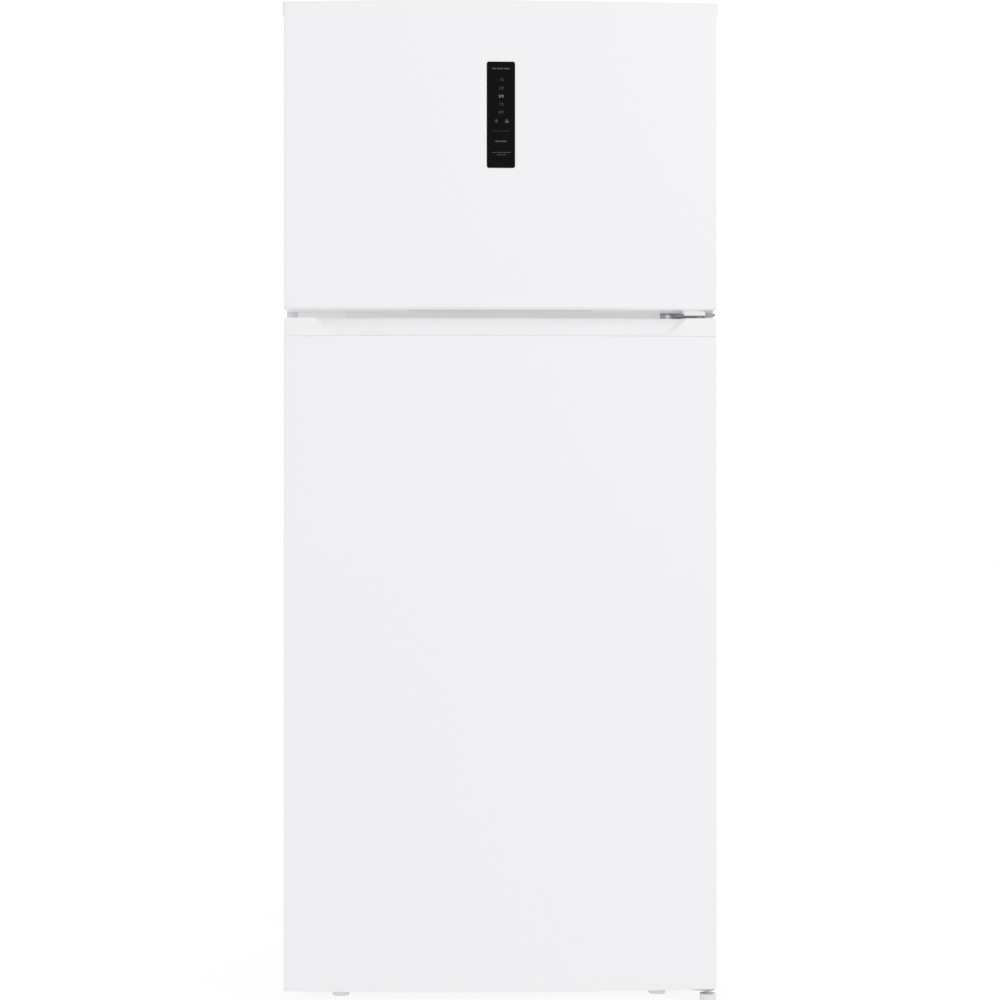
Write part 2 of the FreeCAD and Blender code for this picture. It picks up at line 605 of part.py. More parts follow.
def upper_door():
    parts = {}
    z0, z1 = UPPER_BOTTOM, HEIGHT
    pocket, pocket_lining = hinge_pocket(), hinge_pocket_lining()
    top_bush = POCKET_FLOOR - BUSH_LENGTH
    low_boss = boss_at(z0 + OVER, BUSH_LENGTH + BOSS_FLOOR - OVER, PIN_R)
    top = fuse(end_cap(z1, z1 - CAP_SKIRT), cap_ears(), pocket_lining,
               boss_at(top_bush - BOSS_FLOOR, BUSH_LENGTH + BOSS_FLOOR - OVER, PIN_R))
    parts["upper_door_top_cap"] = cut(top, pocket, bush_hole(top_bush, BUSH_LENGTH + OVER, PIN_R))

    groove = grip_groove(UPPER_GRIP_HALF, z0 - OVER, z0 + UPPER_GRIP_DROP)
    bottom = fuse(end_cap(z0, z0 + CAP_SKIRT), low_boss,
                  grip_groove_wall(UPPER_GRIP_HALF, z0 + OVER, z0 + UPPER_GRIP_DROP + CAP_WALL))
    parts["upper_door_bottom_cap"] = cut(bottom, groove, bush_hole(z0 - OVER, BUSH_LENGTH + OVER, PIN_R))

    window = rounded_plate(-GLASS_WIDTH / 2 - GLASS_GAP, GLASS_WIDTH / 2 + GLASS_GAP,
                           GLASS_Z0 - GLASS_GAP, GLASS_Z1 + GLASS_GAP, FRONT - TOOL_REACH,
                           FRONT + GLASS_THICK + MODULE_EDGE, GLASS_RADIUS)
    parts["upper_door_skin"] = cut(door_skin(z0 + CAP_PLATE, z1 - CAP_PLATE), window, pocket)

    ridge_half = DOOR_HALF - RIDGE_INSET - FREEZER_RIDGE_EXTRA
    levels = [z0 + share * (z1 - z0) for share in UPPER_BIN_SHARES]
    mouth = (MULLION_TOP, FREEZER_CEILING)
    liner, core = door_lining(z0 + CAP_PLATE, z1 - CAP_PLATE, mouth, ridge_half, levels)
    parts["upper_door_liner"] = cut(liner, pocket)
    bins = [door_bin(ridge_half - RIDGE_WIDTH, z) for z in levels]
    parts["upper_door_bins"] = Part.makeCompound(bins)
    parts["upper_door_gasket"] = ring(GASKET_HALF, z0 + GASKET_INSET, CAB_TOP - GASKET_TOP,
                                      GASKET_WIDTH, DOOR_BACK, CAB_FRONT)

    parts["display_glass"] = rounded_plate(-GLASS_WIDTH / 2, GLASS_WIDTH / 2, GLASS_Z0, GLASS_Z1,
                                           FRONT, FRONT + GLASS_THICK, GLASS_RADIUS)
    module = box(-GLASS_WIDTH / 2 - MODULE_EDGE, GLASS_WIDTH / 2 + MODULE_EDGE, FRONT + GLASS_THICK,
                 FRONT + GLASS_THICK + MODULE_DEPTH, GLASS_Z0 - MODULE_EDGE, GLASS_Z1 + MODULE_EDGE)
    parts["display_module"] = module

    low_bush = fuse(bush_at(z0, BUSH_LENGTH, PIN_R), bush_flange(ARM_TOP + THREAD_GAP, z0, PIN_R))
    parts["upper_door_bushes"] = Part.makeCompound([bush_at(top_bush, BUSH_LENGTH, PIN_R), low_bush])

    foam = fuse(door_block(z0 + CAP_PLATE, z1 - CAP_PLATE, SKIN, DOOR_BACK - LINER), core)
    parts["upper_door_foam"] = cut(
        foam, parts["upper_door_top_cap"], parts["upper_door_bottom_cap"], pocket, pocket_lining,
        groove, window, module, parts["display_glass"], low_boss,
        boss_at(top_bush - BOSS_FLOOR, BUSH_LENGTH + BOSS_FLOOR, PIN_R))
    return parts


def scoop(grow=0.0):
    """Hand scoop: its back face follows the door's bow and slopes from nothing to full depth."""
    sill = LOWER_SEAM + SCOOP_SILL
    slope = SCOOP_DEPTH / (LOWER_TOP - sill)
    spread = (SCOOP_TOP - SCOOP_FOOT) / (LOWER_TOP - sill)
    ahead = FRONT - 2 * TOOL_REACH
    wires = []
    for z in (sill - SCOOP_RUN_OUT, LOWER_TOP + SCOOP_RUN_OUT):
        rise = z - sill
        depth = rise * slope + grow
        edge = SCOOP_FOOT + rise * spread + grow
        inner = edge - SCOOP_SIDE * (depth - grow)
        outer = edge + SCOOP_SIDE * (bow_y(edge) - ahead)
        left = V(-inner, bow_y(inner, depth), z)
        right = V(inner, bow_y(inner, depth), z)
        wires.append(Part.Wire([
            Part.Arc(left, V(0, DOOR_FRONT + depth, z), right).toShape(),
            Part.makeLine(right, V(outer, ahead, z)),
            Part.makeLine(V(outer, ahead, z), V(-outer, ahead, z)),
            Part.makeLine(V(-outer, ahead, z), left),
        ]))
    loft = Part.makeLoft(wires, True, True)
    return loft if loft.Volume > 0 else loft.reversed()


def lower_door():
    parts = {}
    z0, z1, seam = LOWER_DOOR_FOOT, LOWER_TOP, LOWER_SEAM
    boss = boss_at(z1 - BUSH_LENGTH - BOSS_FLOOR, BUSH_LENGTH + BOSS_FLOOR, PIN_R)
    groove = grip_groove(GRIP_HALF, z1 - GRIP_DROP, z1 + OVER)
    groove_wall = grip_groove_wall(GRIP_HALF, z1 - GRIP_DROP - CAP_WALL, z1 + OVER)
    outline = rounded_plate(-DOOR_HALF, DOOR_HALF, seam - 3 * HANDLE_CORNER, z1, FRONT - TOOL_REACH,
                            DOOR_BACK + TOOL_REACH, HANDLE_CORNER)
    shell = door_block(seam, z1).common(outline)
    filling = cut(door_block(seam - OVER, z1 - HANDLE_WALL, HANDLE_WALL, DOOR_BACK - HANDLE_WALL),
                  scoop(HANDLE_WALL), groove_wall, boss)
    skirt = cut(door_block(seam - CAP_SKIRT / 2, seam + HANDLE_WALL, SKIN, DOOR_BACK - LINER),
                door_block(seam - CAP_SKIRT, seam + 2 * HANDLE_WALL, SKIN + CAP_WALL,
                           DOOR_BACK - LINER - CAP_WALL))
    cap = cut(fuse(cut(shell, filling), skirt, boss), scoop(), groove)
    parts["lower_door_top_cap"] = cut(cap, bush_hole(z1 - BUSH_LENGTH, BUSH_LENGTH + OVER, PIN_R))

    low_boss = boss_at(z0 + OVER, BUSH_LENGTH + BOSS_FLOOR - OVER, FOOT_PIN_R)
    bottom = fuse(end_cap(z0, z0 + CAP_SKIRT), low_boss)
    parts["lower_door_bottom_cap"] = cut(bottom, bush_hole(z0 - OVER, BUSH_LENGTH + OVER, FOOT_PIN_R))
    parts["lower_door_skin"] = door_skin(z0 + CAP_PLATE, seam)

    ridge_half = DOOR_HALF - RIDGE_INSET
    edge = ridge_half - RIDGE_WIDTH
    liner, core = door_lining(z0 + CAP_PLATE, seam, (FLOOR, MULLION_BOTTOM), ridge_half, BIN_LEVELS)
    hole = cylinder(FLAP_PIN_R + FIT, -edge - OVER, FLAP_Y, FLAP_Z, 2 * edge + 2 * OVER, ALONG_X)
    ears = []
    for side in (-1, 1):
        x0, x1 = between(side, edge, edge - FLAP_EAR)
        ear = box(x0, x1, DOOR_BACK, FLAP_Y + FLAP_EAR_HALF, FLAP_Z - FLAP_EAR_HALF, FLAP_Z + FLAP_EAR_HALF)
        ears.append(cut(ear, hole))
    parts["lower_door_liner"] = fuse(liner, *ears)
    bins = [door_bin(edge, z) for z in BIN_LEVELS[:-1]] + [door_bin(edge, BIN_LEVELS[-1], BOTTLE_BIN)]
    parts["lower_door_bins"] = Part.makeCompound(bins)
    parts["lower_door_gasket"] = ring(GASKET_HALF, z0 + LOWER_GASKET_FOOT, z1 - GASKET_INSET,
                                      GASKET_WIDTH, DOOR_BACK, CAB_FRONT)
    parts["dairy_flap"] = dairy_flap(edge)

    top_bush = fuse(bush_at(z1 - BUSH_LENGTH, BUSH_LENGTH, PIN_R),
                    bush_flange(z1, ARM_LOW - THREAD_GAP, PIN_R))
    foot_bush = fuse(bush_at(z0, BUSH_LENGTH, FOOT_PIN_R),
                     bush_flange(FOOT_PLATE_TOP + THREAD_GAP, z0, FOOT_PIN_R))
    parts["lower_door_bushes"] = Part.makeCompound([top_bush, foot_bush])

    foam = fuse(door_block(z0 + CAP_PLATE, seam, SKIN, DOOR_BACK - LINER), core)
    foam = fuse(foam, cut(filling, box(-HALF, HALF, FRONT, BACK, seam - 2 * OVER, seam)))
    parts["lower_door_foam"] = cut(foam, parts["lower_door_top_cap"], parts["lower_door_bottom_cap"],
                                   parts["lower_door_liner"], low_boss, boss, groove_wall)
    return parts


def dairy_flap(edge):
    """Hinged lid over the top bin: a barrel on two pins, a flat top and a lip at its free edge."""
    half = edge - FLAP_EAR - FLAP_END_GAP
    pin_half = edge - FLAP_END_GAP
    y1 = DOOR_BACK + BIN_DEPTH + BIN_WALL + FLAP_OVERHANG
    top = FLAP_Z + FLAP_BARREL_R
    return fuse(cylinder(FLAP_BARREL_R, -half, FLAP_Y, FLAP_Z, 2 * half, ALONG_X),
                cylinder(FLAP_PIN_R, -pin_half, FLAP_Y, FLAP_Z, 2 * pin_half, ALONG_X),
                box(-half, half, FLAP_Y, y1, top - FLAP_THICK, top),
                box(-half, half, y1 - FLAP_THICK, y1, FLAP_Z - FLAP_LIP, top))


# ---- cabinet ----
def fridge_space(grow=0.0):
    """Fridge cavity with the step over the machine compartment, seen from the side."""
    half = FRIDGE_HALF + grow
    front = CAB_FRONT - OVER
    outline = [
        V(-half, front, FLOOR - grow),
        V(-half, STEP_Y + grow, FLOOR - grow),
        V(-half, STEP_Y + grow, STEP_TOP - grow),
        V(-half, FRIDGE_BACK + grow, STEP_TOP - grow),
        V(-half, FRIDGE_BACK + grow, MULLION_BOTTOM + grow),
        V(-half, front, MULLION_BOTTOM + grow),
    ]
    return prism(outline, V(2 * half, 0, 0))


def freezer_space(grow=0.0):
    half = FREEZER_HALF + grow
    return box(-half, half, CAB_FRONT - OVER, FREEZER_BACK + grow, MULLION_TOP - grow,
               FREEZER_CEILING + grow)


def side_panel():
    """Right side sheet with its front flange, folded inward."""
    outline = [
        V(CAB_HALF, CAB_FRONT, BASE),
        V(CAB_HALF, CAB_BACK, BASE),
        V(INNER, CAB_BACK, BASE),
        V(INNER, CAB_FRONT + SHEET, BASE),
        V(FLANGE_EDGE, CAB_FRONT + SHEET, BASE),
        V(FLANGE_EDGE, CAB_FRONT, BASE),
    ]
    return prism(outline, V(0, 0, CAB_TOP - SHEET - BASE))


def front_rim(z0, z1, space):
    """Liner's flat rim round a cavity's mouth, between the cabinet's flanges."""
    rim = box(-FLANGE_EDGE, FLANGE_EDGE, CAB_FRONT, CAB_FRONT + LINER, z0, z1)
    return cut(rim, space)


def shelf_ribs(half, z, y1):
    """Rests along both side walls under a shelf, standing in the cavity."""
    ribs = []
    for side in (-1, 1):
        x0, x1 = between(side, half, half - RIB)
        ribs.append(box(x0, x1, SHELF_FRONT + RIB_SETBACK, y1, z - RIB, z))
    return ribs


def rear_panel():
    """Rear sheet with four embossed pads."""
    middle = INNER * STANDOFF_SHARE
    pads = []
    for side in (-1, 1):
        x0, x1 = side * middle - STANDOFF_HALF, side * middle + STANDOFF_HALF
        for z in (MACHINE_TOP + STANDOFF_LOW, CAB_TOP - STANDOFF_HIGH):
            pads.append(rounded_plate(x0, x1, z - STANDOFF_RISE, z + STANDOFF_RISE, CAB_BACK - SHEET,
                                      BACK, STANDOFF_CORNER))
    return fuse(box(-INNER, INNER, CAB_BACK - SHEET, CAB_BACK, MACHINE_TOP + PAN, CAB_TOP - SHEET), *pads)


def cabinet():
    parts = {}
    screws, holes = hinge_screws()
    right = side_panel()
    parts["side_panel_right"] = right
    parts["side_panel_left"] = mirrored(right)
    top = fuse(
        box(-CAB_HALF, CAB_HALF, CAB_FRONT, CAB_BACK, CAB_TOP - SHEET, CAB_TOP),
        box(-FLANGE_EDGE, FLANGE_EDGE, CAB_FRONT, CAB_FRONT + SHEET, CAB_TOP - FLANGE, CAB_TOP - SHEET))
    parts["top_panel"] = cut(top, *holes)
    parts["rear_panel"] = rear_panel()
    parts["base_pan"] = cut(base_pan(), *holes)
    parts["hinge_screws"] = screws

    space, cold = fridge_space(), freezer_space()
    ahead = box(-HALF, HALF, FRONT, CAB_FRONT, 0, HEIGHT)
    ribs = shelf_ribs(FRIDGE_HALF, CRISPER_LID, STEP_Y - LINER)
    for z in SHELF_LEVELS:
        ribs += shelf_ribs(FRIDGE_HALF, z, FRIDGE_BACK)
    fridge = fuse(cut(fridge_space(LINER), ahead), front_rim(BEAM_TOP, MULLION_BOTTOM, space))
    parts["fridge_liner"] = fuse(cut(fridge, space), *ribs)
    freezer = fuse(cut(freezer_space(LINER), ahead), front_rim(MULLION_TOP, CAB_TOP - FLANGE, cold))
    parts["freezer_liner"] = fuse(cut(freezer, cold),
                                  *shelf_ribs(FREEZER_HALF, FREEZER_SHELF_Z, EVAP_Y - LINER))

    bar = box(-FLANGE_EDGE, FLANGE_EDGE, CAB_FRONT, CAB_FRONT + LINER, MULLION_BOTTOM, MULLION_TOP)
    bar = cut(bar, fridge_space(LINER).common(bar), freezer_space(LINER).common(bar))
    parts["mullion_bar"] = cut(fuse(bar, *front_lips()), *holes)
    blank_x = -FLANGE_EDGE + BLANK_INSET
    parts["mullion_hinge_blank"] = box(blank_x, blank_x + BLANK_WIDTH, CAB_FRONT - BLANK_THICK, CAB_FRONT,
                                       LOWER_TOP + MID_PLATE_INSET, UPPER_BOTTOM - MID_PLATE_INSET)

    foam = box(-INNER, INNER, CAB_FRONT + SHEET, CAB_BACK - SHEET, PAN_TOP, CAB_TOP - SHEET)
    machine_space = box(-INNER - OVER, INNER + OVER, MACHINE_Y - PAN, CAB_BACK, 0, MACHINE_TOP + PAN)
    rims = box(-FLANGE_EDGE, FLANGE_EDGE, CAB_FRONT, CAB_FRONT + LINER, BEAM_TOP, CAB_TOP - FLANGE)
    wells = [cylinder(STEM_R + WELL_GAP, side * FOOT_X, FOOT_Y, BASE, STEM_RISE + WELL_RISE)
             for side in (-1, 1)]
    parts["insulation_foam"] = cut(foam, fridge_space(LINER), freezer_space(LINER), machine_space,
                                   parts["mullion_bar"], parts["base_pan"], rims, *wells, *holes)
    return parts


def front_lips():
    """Two folded lips that stiffen the mullion bar from behind."""
    y0 = CAB_FRONT + LINER
    return [box(-FREEZER_HALF, FREEZER_HALF, y0, y0 + LIP_DEPTH, z, z + LINER)
            for z in (LOWER_TOP - LIP_DROP, UPPER_BOTTOM)]


def base_pan():
    """Bottom sheet with a front beam, foot nuts, the machine bulkhead and the roller forks."""
    pieces = [
        box(-INNER, INNER, CAB_FRONT + SHEET, CAB_BACK - SHEET, BASE, PAN_TOP),
        box(-FLANGE_EDGE, FLANGE_EDGE, CAB_FRONT, CAB_FRONT + PAN, BASE, BEAM_TOP),
        box(-INNER, INNER, MACHINE_Y - PAN, MACHINE_Y, BASE, MACHINE_TOP + PAN),
        box(-INNER, INNER, MACHINE_Y - PAN, CAB_BACK - SHEET, MACHINE_TOP, MACHINE_TOP + PAN),
    ]
    holes = []
    for side in (-1, 1):
        pieces.append(cylinder(STEM_R + NUT_WALL, side * FOOT_X, FOOT_Y, BASE, NUT_HEIGHT))
        holes.append(cylinder(STEM_R + THREAD_GAP, side * FOOT_X, FOOT_Y, 0, BASE + 2 * STEM_RISE))
        for cheek in (-1, 1):
            x = side * ROLLER_X + cheek * (ROLLER_WIDTH / 2 + ROLLER_GAP + PAN / 2)
            pieces.append(box(x - PAN / 2, x + PAN / 2, ROLLER_Y - FORK_HALF, ROLLER_Y + FORK_HALF,
                              FORK_LOW, BASE + PAN / 2))
        pieces.append(cylinder(AXLE_R, side * ROLLER_X - ROLLER_WIDTH / 2 - AXLE_END, ROLLER_Y, ROLLER_R,
                               ROLLER_WIDTH + 2 * AXLE_END, ALONG_X))
    return cut(fuse(*pieces), *holes)


# ---- hinges ----
def pan_screw(at, axis):
    """Pan head and plain shank, the head standing out along -axis."""
    return fuse(Part.makeCylinder(SCREW_HEAD_R, SCREW_HEAD, at - axis * SCREW_HEAD, axis),
                Part.makeCylinder(SCREW_R, SCREW_LENGTH, at, axis))


def hinge_screws():
    """All screws of the three hinges, and the clearance holes that they need."""
    places = [(V(AXIS_X - x, CAB_FRONT + y, CAB_TOP + HINGE_PLATE), -ALONG_Z) for x, y in TOP_SCREWS]
    mid_z = (LOWER_TOP + UPPER_BOTTOM) / 2
    places.append((V(AXIS_X - MID_SCREW, CAB_FRONT - HINGE_PLATE, mid_z), ALONG_Y))
    foot_z = PAN_TOP + SCREW_HEAD_R + CAP_WALL
    places += [(V(AXIS_X - x, CAB_FRONT - HINGE_PLATE, foot_z), ALONG_Y) for x in FOOT_SCREWS]
    screws = [pan_screw(at, axis) for at, axis in places]
    holes = [Part.makeCylinder(SCREW_R + SEAT, SCREW_LENGTH + CAP_WALL, at, axis) for at, axis in places]
    return Part.makeCompound(screws), holes


def top_hinge(holes):
    """Arm over the pocket, a five-sided seat on the cabinet's roof and a pin that points down."""
    x, y = AXIS_X, AXIS_Y
    front, seat = CAB_FRONT + TOP_SEAT_FRONT, CAB_FRONT + TOP_SEAT_BACK
    near, far = TOP_SEAT_ENDS
    outline = [(x - TOP_SEAT_IN, front), (x + ARM_END, front), (x + ARM_END, CAB_FRONT + TOP_SEAT_SHOULDER),
               (x - near, seat), (x - far, seat)]
    plate = rounded_arm(outline, CAB_TOP, HINGE_PLATE, x, y, ARM_END)
    arm = box(x - ARM_END, x + ARM_END, y, front + HINGE_PLATE, CAB_TOP, CAB_TOP + HINGE_PLATE)
    pin = cylinder(PIN_R, x, y, CAB_TOP - PIN_LENGTH, PIN_LENGTH)
    return cut(fuse(plate, arm, pin), *holes)


def top_hinge_covers(hinge):
    """Cover over the top hinge, and the matching cover on the side without one."""
    x, y = AXIS_X, AXIS_Y
    x0, x1 = x - COVER_IN, x + ARM_END
    y0, y1 = CAB_FRONT + COVER_WALL, CAB_FRONT + TOP_SEAT_BACK + COVER_BACK
    low = CAB_TOP + HINGE_PLATE + SCREW_HEAD + COVER_GAP
    high = low + COVER_WALL
    lid = fuse(box(x0, x1, y0, y1, low, high),
               box(x - ARM_END, x1, y, y0 + COVER_WALL, low, high),
               cylinder(ARM_END, x, y, low, COVER_WALL))
    wall = cut(box(x0, x1, y0, y1, CAB_TOP, low),
               box(x0 + COVER_WALL, x1 - COVER_THIN, y0 - OVER, y1 - COVER_WALL, CAB_TOP - OVER, low + OVER),
               hinge)
    blank = cut(box(x0, x1, y0, y1, CAB_TOP, high),
                box(x0 + COVER_WALL, x1 - COVER_WALL, y0 + COVER_WALL, y1 - COVER_WALL, CAB_TOP - OVER, low))
    return Part.makeCompound([fuse(lid, wall), mirrored(blank)])


def middle_hinge(holes):
    """Arm between the doors with a pin up and a pin down, on a plate screwed to the mullion."""
    x, y = AXIS_X, AXIS_Y
    root, waist = MID_ARM_ROOT
    far, near = MID_PLATE_IN
    arm = rounded_arm([(x - root, CAB_FRONT), (x - waist, y - ARM_LEAD), (x + PIN_R, y - ARM_LEAD),
                       (x + ARM_LEAD, y), (x - near, CAB_FRONT)], ARM_LOW, ARM_PLATE, x, y, MID_ARM_END)
    base = box(x - far, x - near, CAB_FRONT - HINGE_PLATE, CAB_FRONT,
               LOWER_TOP + MID_PLATE_INSET, UPPER_BOTTOM - MID_PLATE_INSET)
    pins = cylinder(PIN_R, x, y, ARM_LOW - PIN_LENGTH, 2 * PIN_LENGTH + ARM_PLATE)
    return cut(fuse(arm, base, pins), *holes)


def middle_hinge_cover():
    """Clip-on cover of the middle arm: a block on the arm and a face plate in front of it."""
    x, y = AXIS_X, AXIS_Y
    far, near, face_near = MID_COVER
    top = UPPER_BOTTOM - CAP_WALL + COVER_GAP
    block = box(x - far, x - near, y - MID_COVER_LEAD + COVER_GAP, CAB_FRONT - MID_COVER_BACK, ARM_TOP, top)
    face = box(x - far, x - face_near, y - MID_COVER_LEAD, y - MID_COVER_LEAD + MID_COVER_FACE,
               ARM_LOW + COVER_GAP, top)
    collar = cylinder(PIN_R + BUSH_WALL + CAP_WALL, x, y, ARM_TOP, DOOR_GAP)
    return cut(fuse(block, face), collar)


def bottom_hinge(holes):
    """Foot plate with a hollow pin, which the levelling foot's stem screws up into."""
    x, y = AXIS_X, AXIS_Y
    root, waist = FOOT_ARM_ROOT
    far, near = FOOT_HINGE_IN
    outline = [(x - root, CAB_FRONT), (x - waist, y), (x - near, y - ARM_LEAD), (x, y - ARM_LEAD),
               (x + ARM_LEAD - OVER, y), (x + HINGE_STEM_R, CAB_FRONT)]
    plate = rounded_arm(outline, FOOT_PLATE_LOW, ARM_PLATE, x, y, ARM_LEAD)
    back = box(x - far, x - near, CAB_FRONT - HINGE_PLATE, CAB_FRONT, FOOT_PLATE_LOW,
               LOWER_DOOR_FOOT + LOWER_GASKET_FOOT - CAP_WALL)
    pin = cylinder(FOOT_PIN_R, x, y, FOOT_PLATE_LOW, PIN_LENGTH + ARM_PLATE)
    bore = cylinder(HINGE_STEM_R + THREAD_GAP, x, y, FOOT_PLATE_LOW - OVER,
                    PIN_LENGTH + ARM_PLATE + 2 * OVER)
    return cut(fuse(plate, back, pin), bore, *holes)


def hinges():
    holes = hinge_screws()[1]
    top = top_hinge(holes)
    return {"top_hinge": top, "top_hinge_covers": top_hinge_covers(top), "middle_hinge": middle_hinge(holes),
            "middle_hinge_cover": middle_hinge_cover(), "bottom_hinge": bottom_hinge(holes)}


# ---- feet and rollers ----
def feet():
    parts = {}
    for side, name in ((-1, "foot_left"), (1, "foot_right")):
        disc = rim_filleted(cylinder(FOOT_R, side * FOOT_X, FOOT_Y, 0, FOOT_DISC), FOOT_R, FOOT_EDGE)
        stem = cylinder(STEM_R, side * FOOT_X, FOOT_Y, FOOT_DISC - OVER, BASE + STEM_RISE - FOOT_DISC)
        parts[name] = fuse(disc, stem)
    disc = rim_filleted(cylinder(HINGE_FOOT_R, AXIS_X, AXIS_Y, 0, HINGE_FOOT_HEIGHT), HINGE_FOOT_R,
                        HINGE_FOOT_EDGE)
    neck = cylinder(NECK_R, AXIS_X, AXIS_Y, HINGE_FOOT_HEIGHT - OVER,
                    FOOT_PLATE_LOW - THREAD_GAP - HINGE_FOOT_HEIGHT + OVER)
    stem = cylinder(HINGE_STEM_R, AXIS_X, AXIS_Y, HINGE_FOOT_HEIGHT, HINGE_STEM_RISE)
    parts["foot_hinge"] = fuse(disc, neck, stem)
    for side, name in ((-1, "roller_left"), (1, "roller_right")):
        x = side * ROLLER_X - ROLLER_WIDTH / 2
        wheel = rim_filleted(cylinder(ROLLER_R, x, ROLLER_Y, ROLLER_R, ROLLER_WIDTH, ALONG_X), ROLLER_R,
                             ROLLER_EDGE)
        bore = cylinder(AXLE_R + FIT, x - OVER, ROLLER_Y, ROLLER_R, ROLLER_WIDTH + 2 * OVER, ALONG_X)
        parts[name] = cut(wheel, bore)
    return parts


# ---- fridge inside ----
def glass_shelf(half, y0, y1, z):
    """Glass plate with a moulded trim along its front and back edges, resting on its ribs."""
    glass = box(-half, half, y0 + SHELF_BITE, y1 - SHELF_BITE, z, z + SHELF_GLASS)
    front = box(-half, half, y0, y0 + SHELF_TRIM, z - SHELF_TRIM_DROP, z + SHELF_GLASS + SHELF_TRIM_RISE)
    rear = box(-half, half, y1 - SHELF_TRIM, y1, z, z + SHELF_GLASS + SHELF_REAR_RISE)
    return fuse(glass, front, rear)


def air_duct_cover():
    """Shallow channel up the fridge's back wall, with slots under each shelf and the ceiling."""
    y0 = FRIDGE_BACK - DUCT_DEPTH
    z0, z1 = CRISPER_LID + DUCT_FOOT, MULLION_BOTTOM - DUCT_HEAD
    below_shelf, below_ceiling = DUCT_SLOTS
    slots = []
    for level in [z - below_shelf for z in SHELF_LEVELS] + [MULLION_BOTTOM - below_ceiling]:
        for z in (level, level + 2 * DUCT_SLOT, level + 4 * DUCT_SLOT):
            for side in (-1, 1):
                x0, x1 = between(side, DUCT_SLOT_INNER, DUCT_HALF - DUCT_SLOT_EDGE)
                slots.append(box(x0, x1, y0 - OVER, FRIDGE_BACK - LINER, z, z + DUCT_SLOT))
    inside = box(-DUCT_HALF + LINER, DUCT_HALF - LINER, y0 + LINER, FRIDGE_BACK + OVER, z0 + LINER, z1 - LINER)
    return cut(box(-DUCT_HALF, DUCT_HALF, y0, FRIDGE_BACK, z0, z1), inside, *slots)


def crisper(side):
    """Open drawer with a pull lip that is hollowed behind for the fingers."""
    x0, x1 = between(side, DRAWER_GAP, FRIDGE_HALF - 2 * DRAWER_GAP)
    front = CAB_FRONT + DRAWER_SETBACK
    z1 = CRISPER_LID - RIB - DRAWER_HEADROOM
    body = tray(x0, x1, front, STEP_Y - DRAWER_BACK_GAP, FLOOR + DRAWER_LIFT, z1, DRAWER_WALL)
    lip = box(x0, x1, front - PULL_DEPTH, front, z1 - PULL_DROP, z1)
    grip = box(x0 + PULL_INSET, x1 - PULL_INSET, front - PULL_DEPTH + PULL_WALL, front - DRAWER_LIFT,
               z1 - PULL_DROP - OVER, z1 - PULL_DEPTH)
    return fuse(body, cut(lip, grip))


def fridge_inside():
    parts = {}
    half = FRIDGE_HALF - SHELF_SIDE_GAP
    rear = FRIDGE_BACK - DUCT_DEPTH - SHELF_TRIM_RISE
    for number, z in enumerate(SHELF_LEVELS):
        parts["fridge_shelf_%d" % (number + 1)] = glass_shelf(half, SHELF_FRONT, rear, z)
    parts["crisper_cover"] = glass_shelf(half, SHELF_FRONT, rear, CRISPER_LID)
    parts["air_duct_cover"] = air_duct_cover()
    parts["crisper_left"] = crisper(-1)
    parts["crisper_right"] = crisper(1)
    return parts


# ---- freezer inside ----
def evaporator_cover(z0, z1):
    """Upright cover with intake slots along its foot and a grille over the fan."""
    hole_r = FAN_R + FAN_GAP
    rim_r = hole_r + FAN_RING
    reach = int((FREEZER_HALF - INTAKE_INSET) // INTAKE_PITCH)
    low, high = INTAKE_RISE
    slots = [box(k * INTAKE_PITCH - INTAKE_SLOT / 2, k * INTAKE_PITCH + INTAKE_SLOT / 2, EVAP_Y - OVER,
                 EVAP_Y + EVAP_COVER + OVER, z0 + low, z0 + high) for k in range(-reach, reach + 1)]
    plate = cut(box(-FREEZER_HALF + EVAP_EDGE, FREEZER_HALF - EVAP_EDGE, EVAP_Y, EVAP_Y + EVAP_COVER, z0, z1),
                cylinder(hole_r, 0, EVAP_Y - OVER, FAN_Z, EVAP_COVER + 2 * OVER, ALONG_Y), *slots)
    y0 = EVAP_Y - GRILLE_DEPTH
    disc = cylinder(rim_r, 0, y0, FAN_Z, GRILLE_DEPTH, ALONG_Y)
    rim = cut(disc, cylinder(hole_r, 0, y0 - OVER, FAN_Z, GRILLE_DEPTH + 2 * OVER, ALONG_Y))
    bars = []
    count = int(hole_r // GRILLE_PITCH)
    for k in range(-count, count + 1):
        z = FAN_Z + k * GRILLE_PITCH
        bar = box(-rim_r, rim_r, y0, EVAP_Y, z - GRILLE_BAR / 2, z + GRILLE_BAR / 2)
        bars.append(bar.common(disc))
    return fuse(plate, rim, *bars)


def evaporator_fan(hub_y):
    """Hub with pitched blades, bored for the motor's shaft."""
    blades = []
    for k in range(FAN_BLADES):
        blade = box(FAN_HUB_R - 2 * CAP_WALL, FAN_R, -FAN_BLADE / 2, FAN_BLADE / 2,
                    -FAN_CHORD / 2, FAN_CHORD / 2)
        blade.rotate(V(0, 0, 0), ALONG_X, FAN_PITCH)
        blade.rotate(V(0, 0, 0), ALONG_Y, 360 / FAN_BLADES * k)
        blade.translate(V(0, hub_y + FAN_HUB / 2, FAN_Z))
        blades.append(blade)
    wheel = fuse(cylinder(FAN_HUB_R, 0, hub_y, FAN_Z, FAN_HUB, ALONG_Y), *blades)
    return cut(wheel, cylinder(SHAFT_R + FIT, 0, hub_y + TRAY_GAP, FAN_Z, FAN_HUB, ALONG_Y))


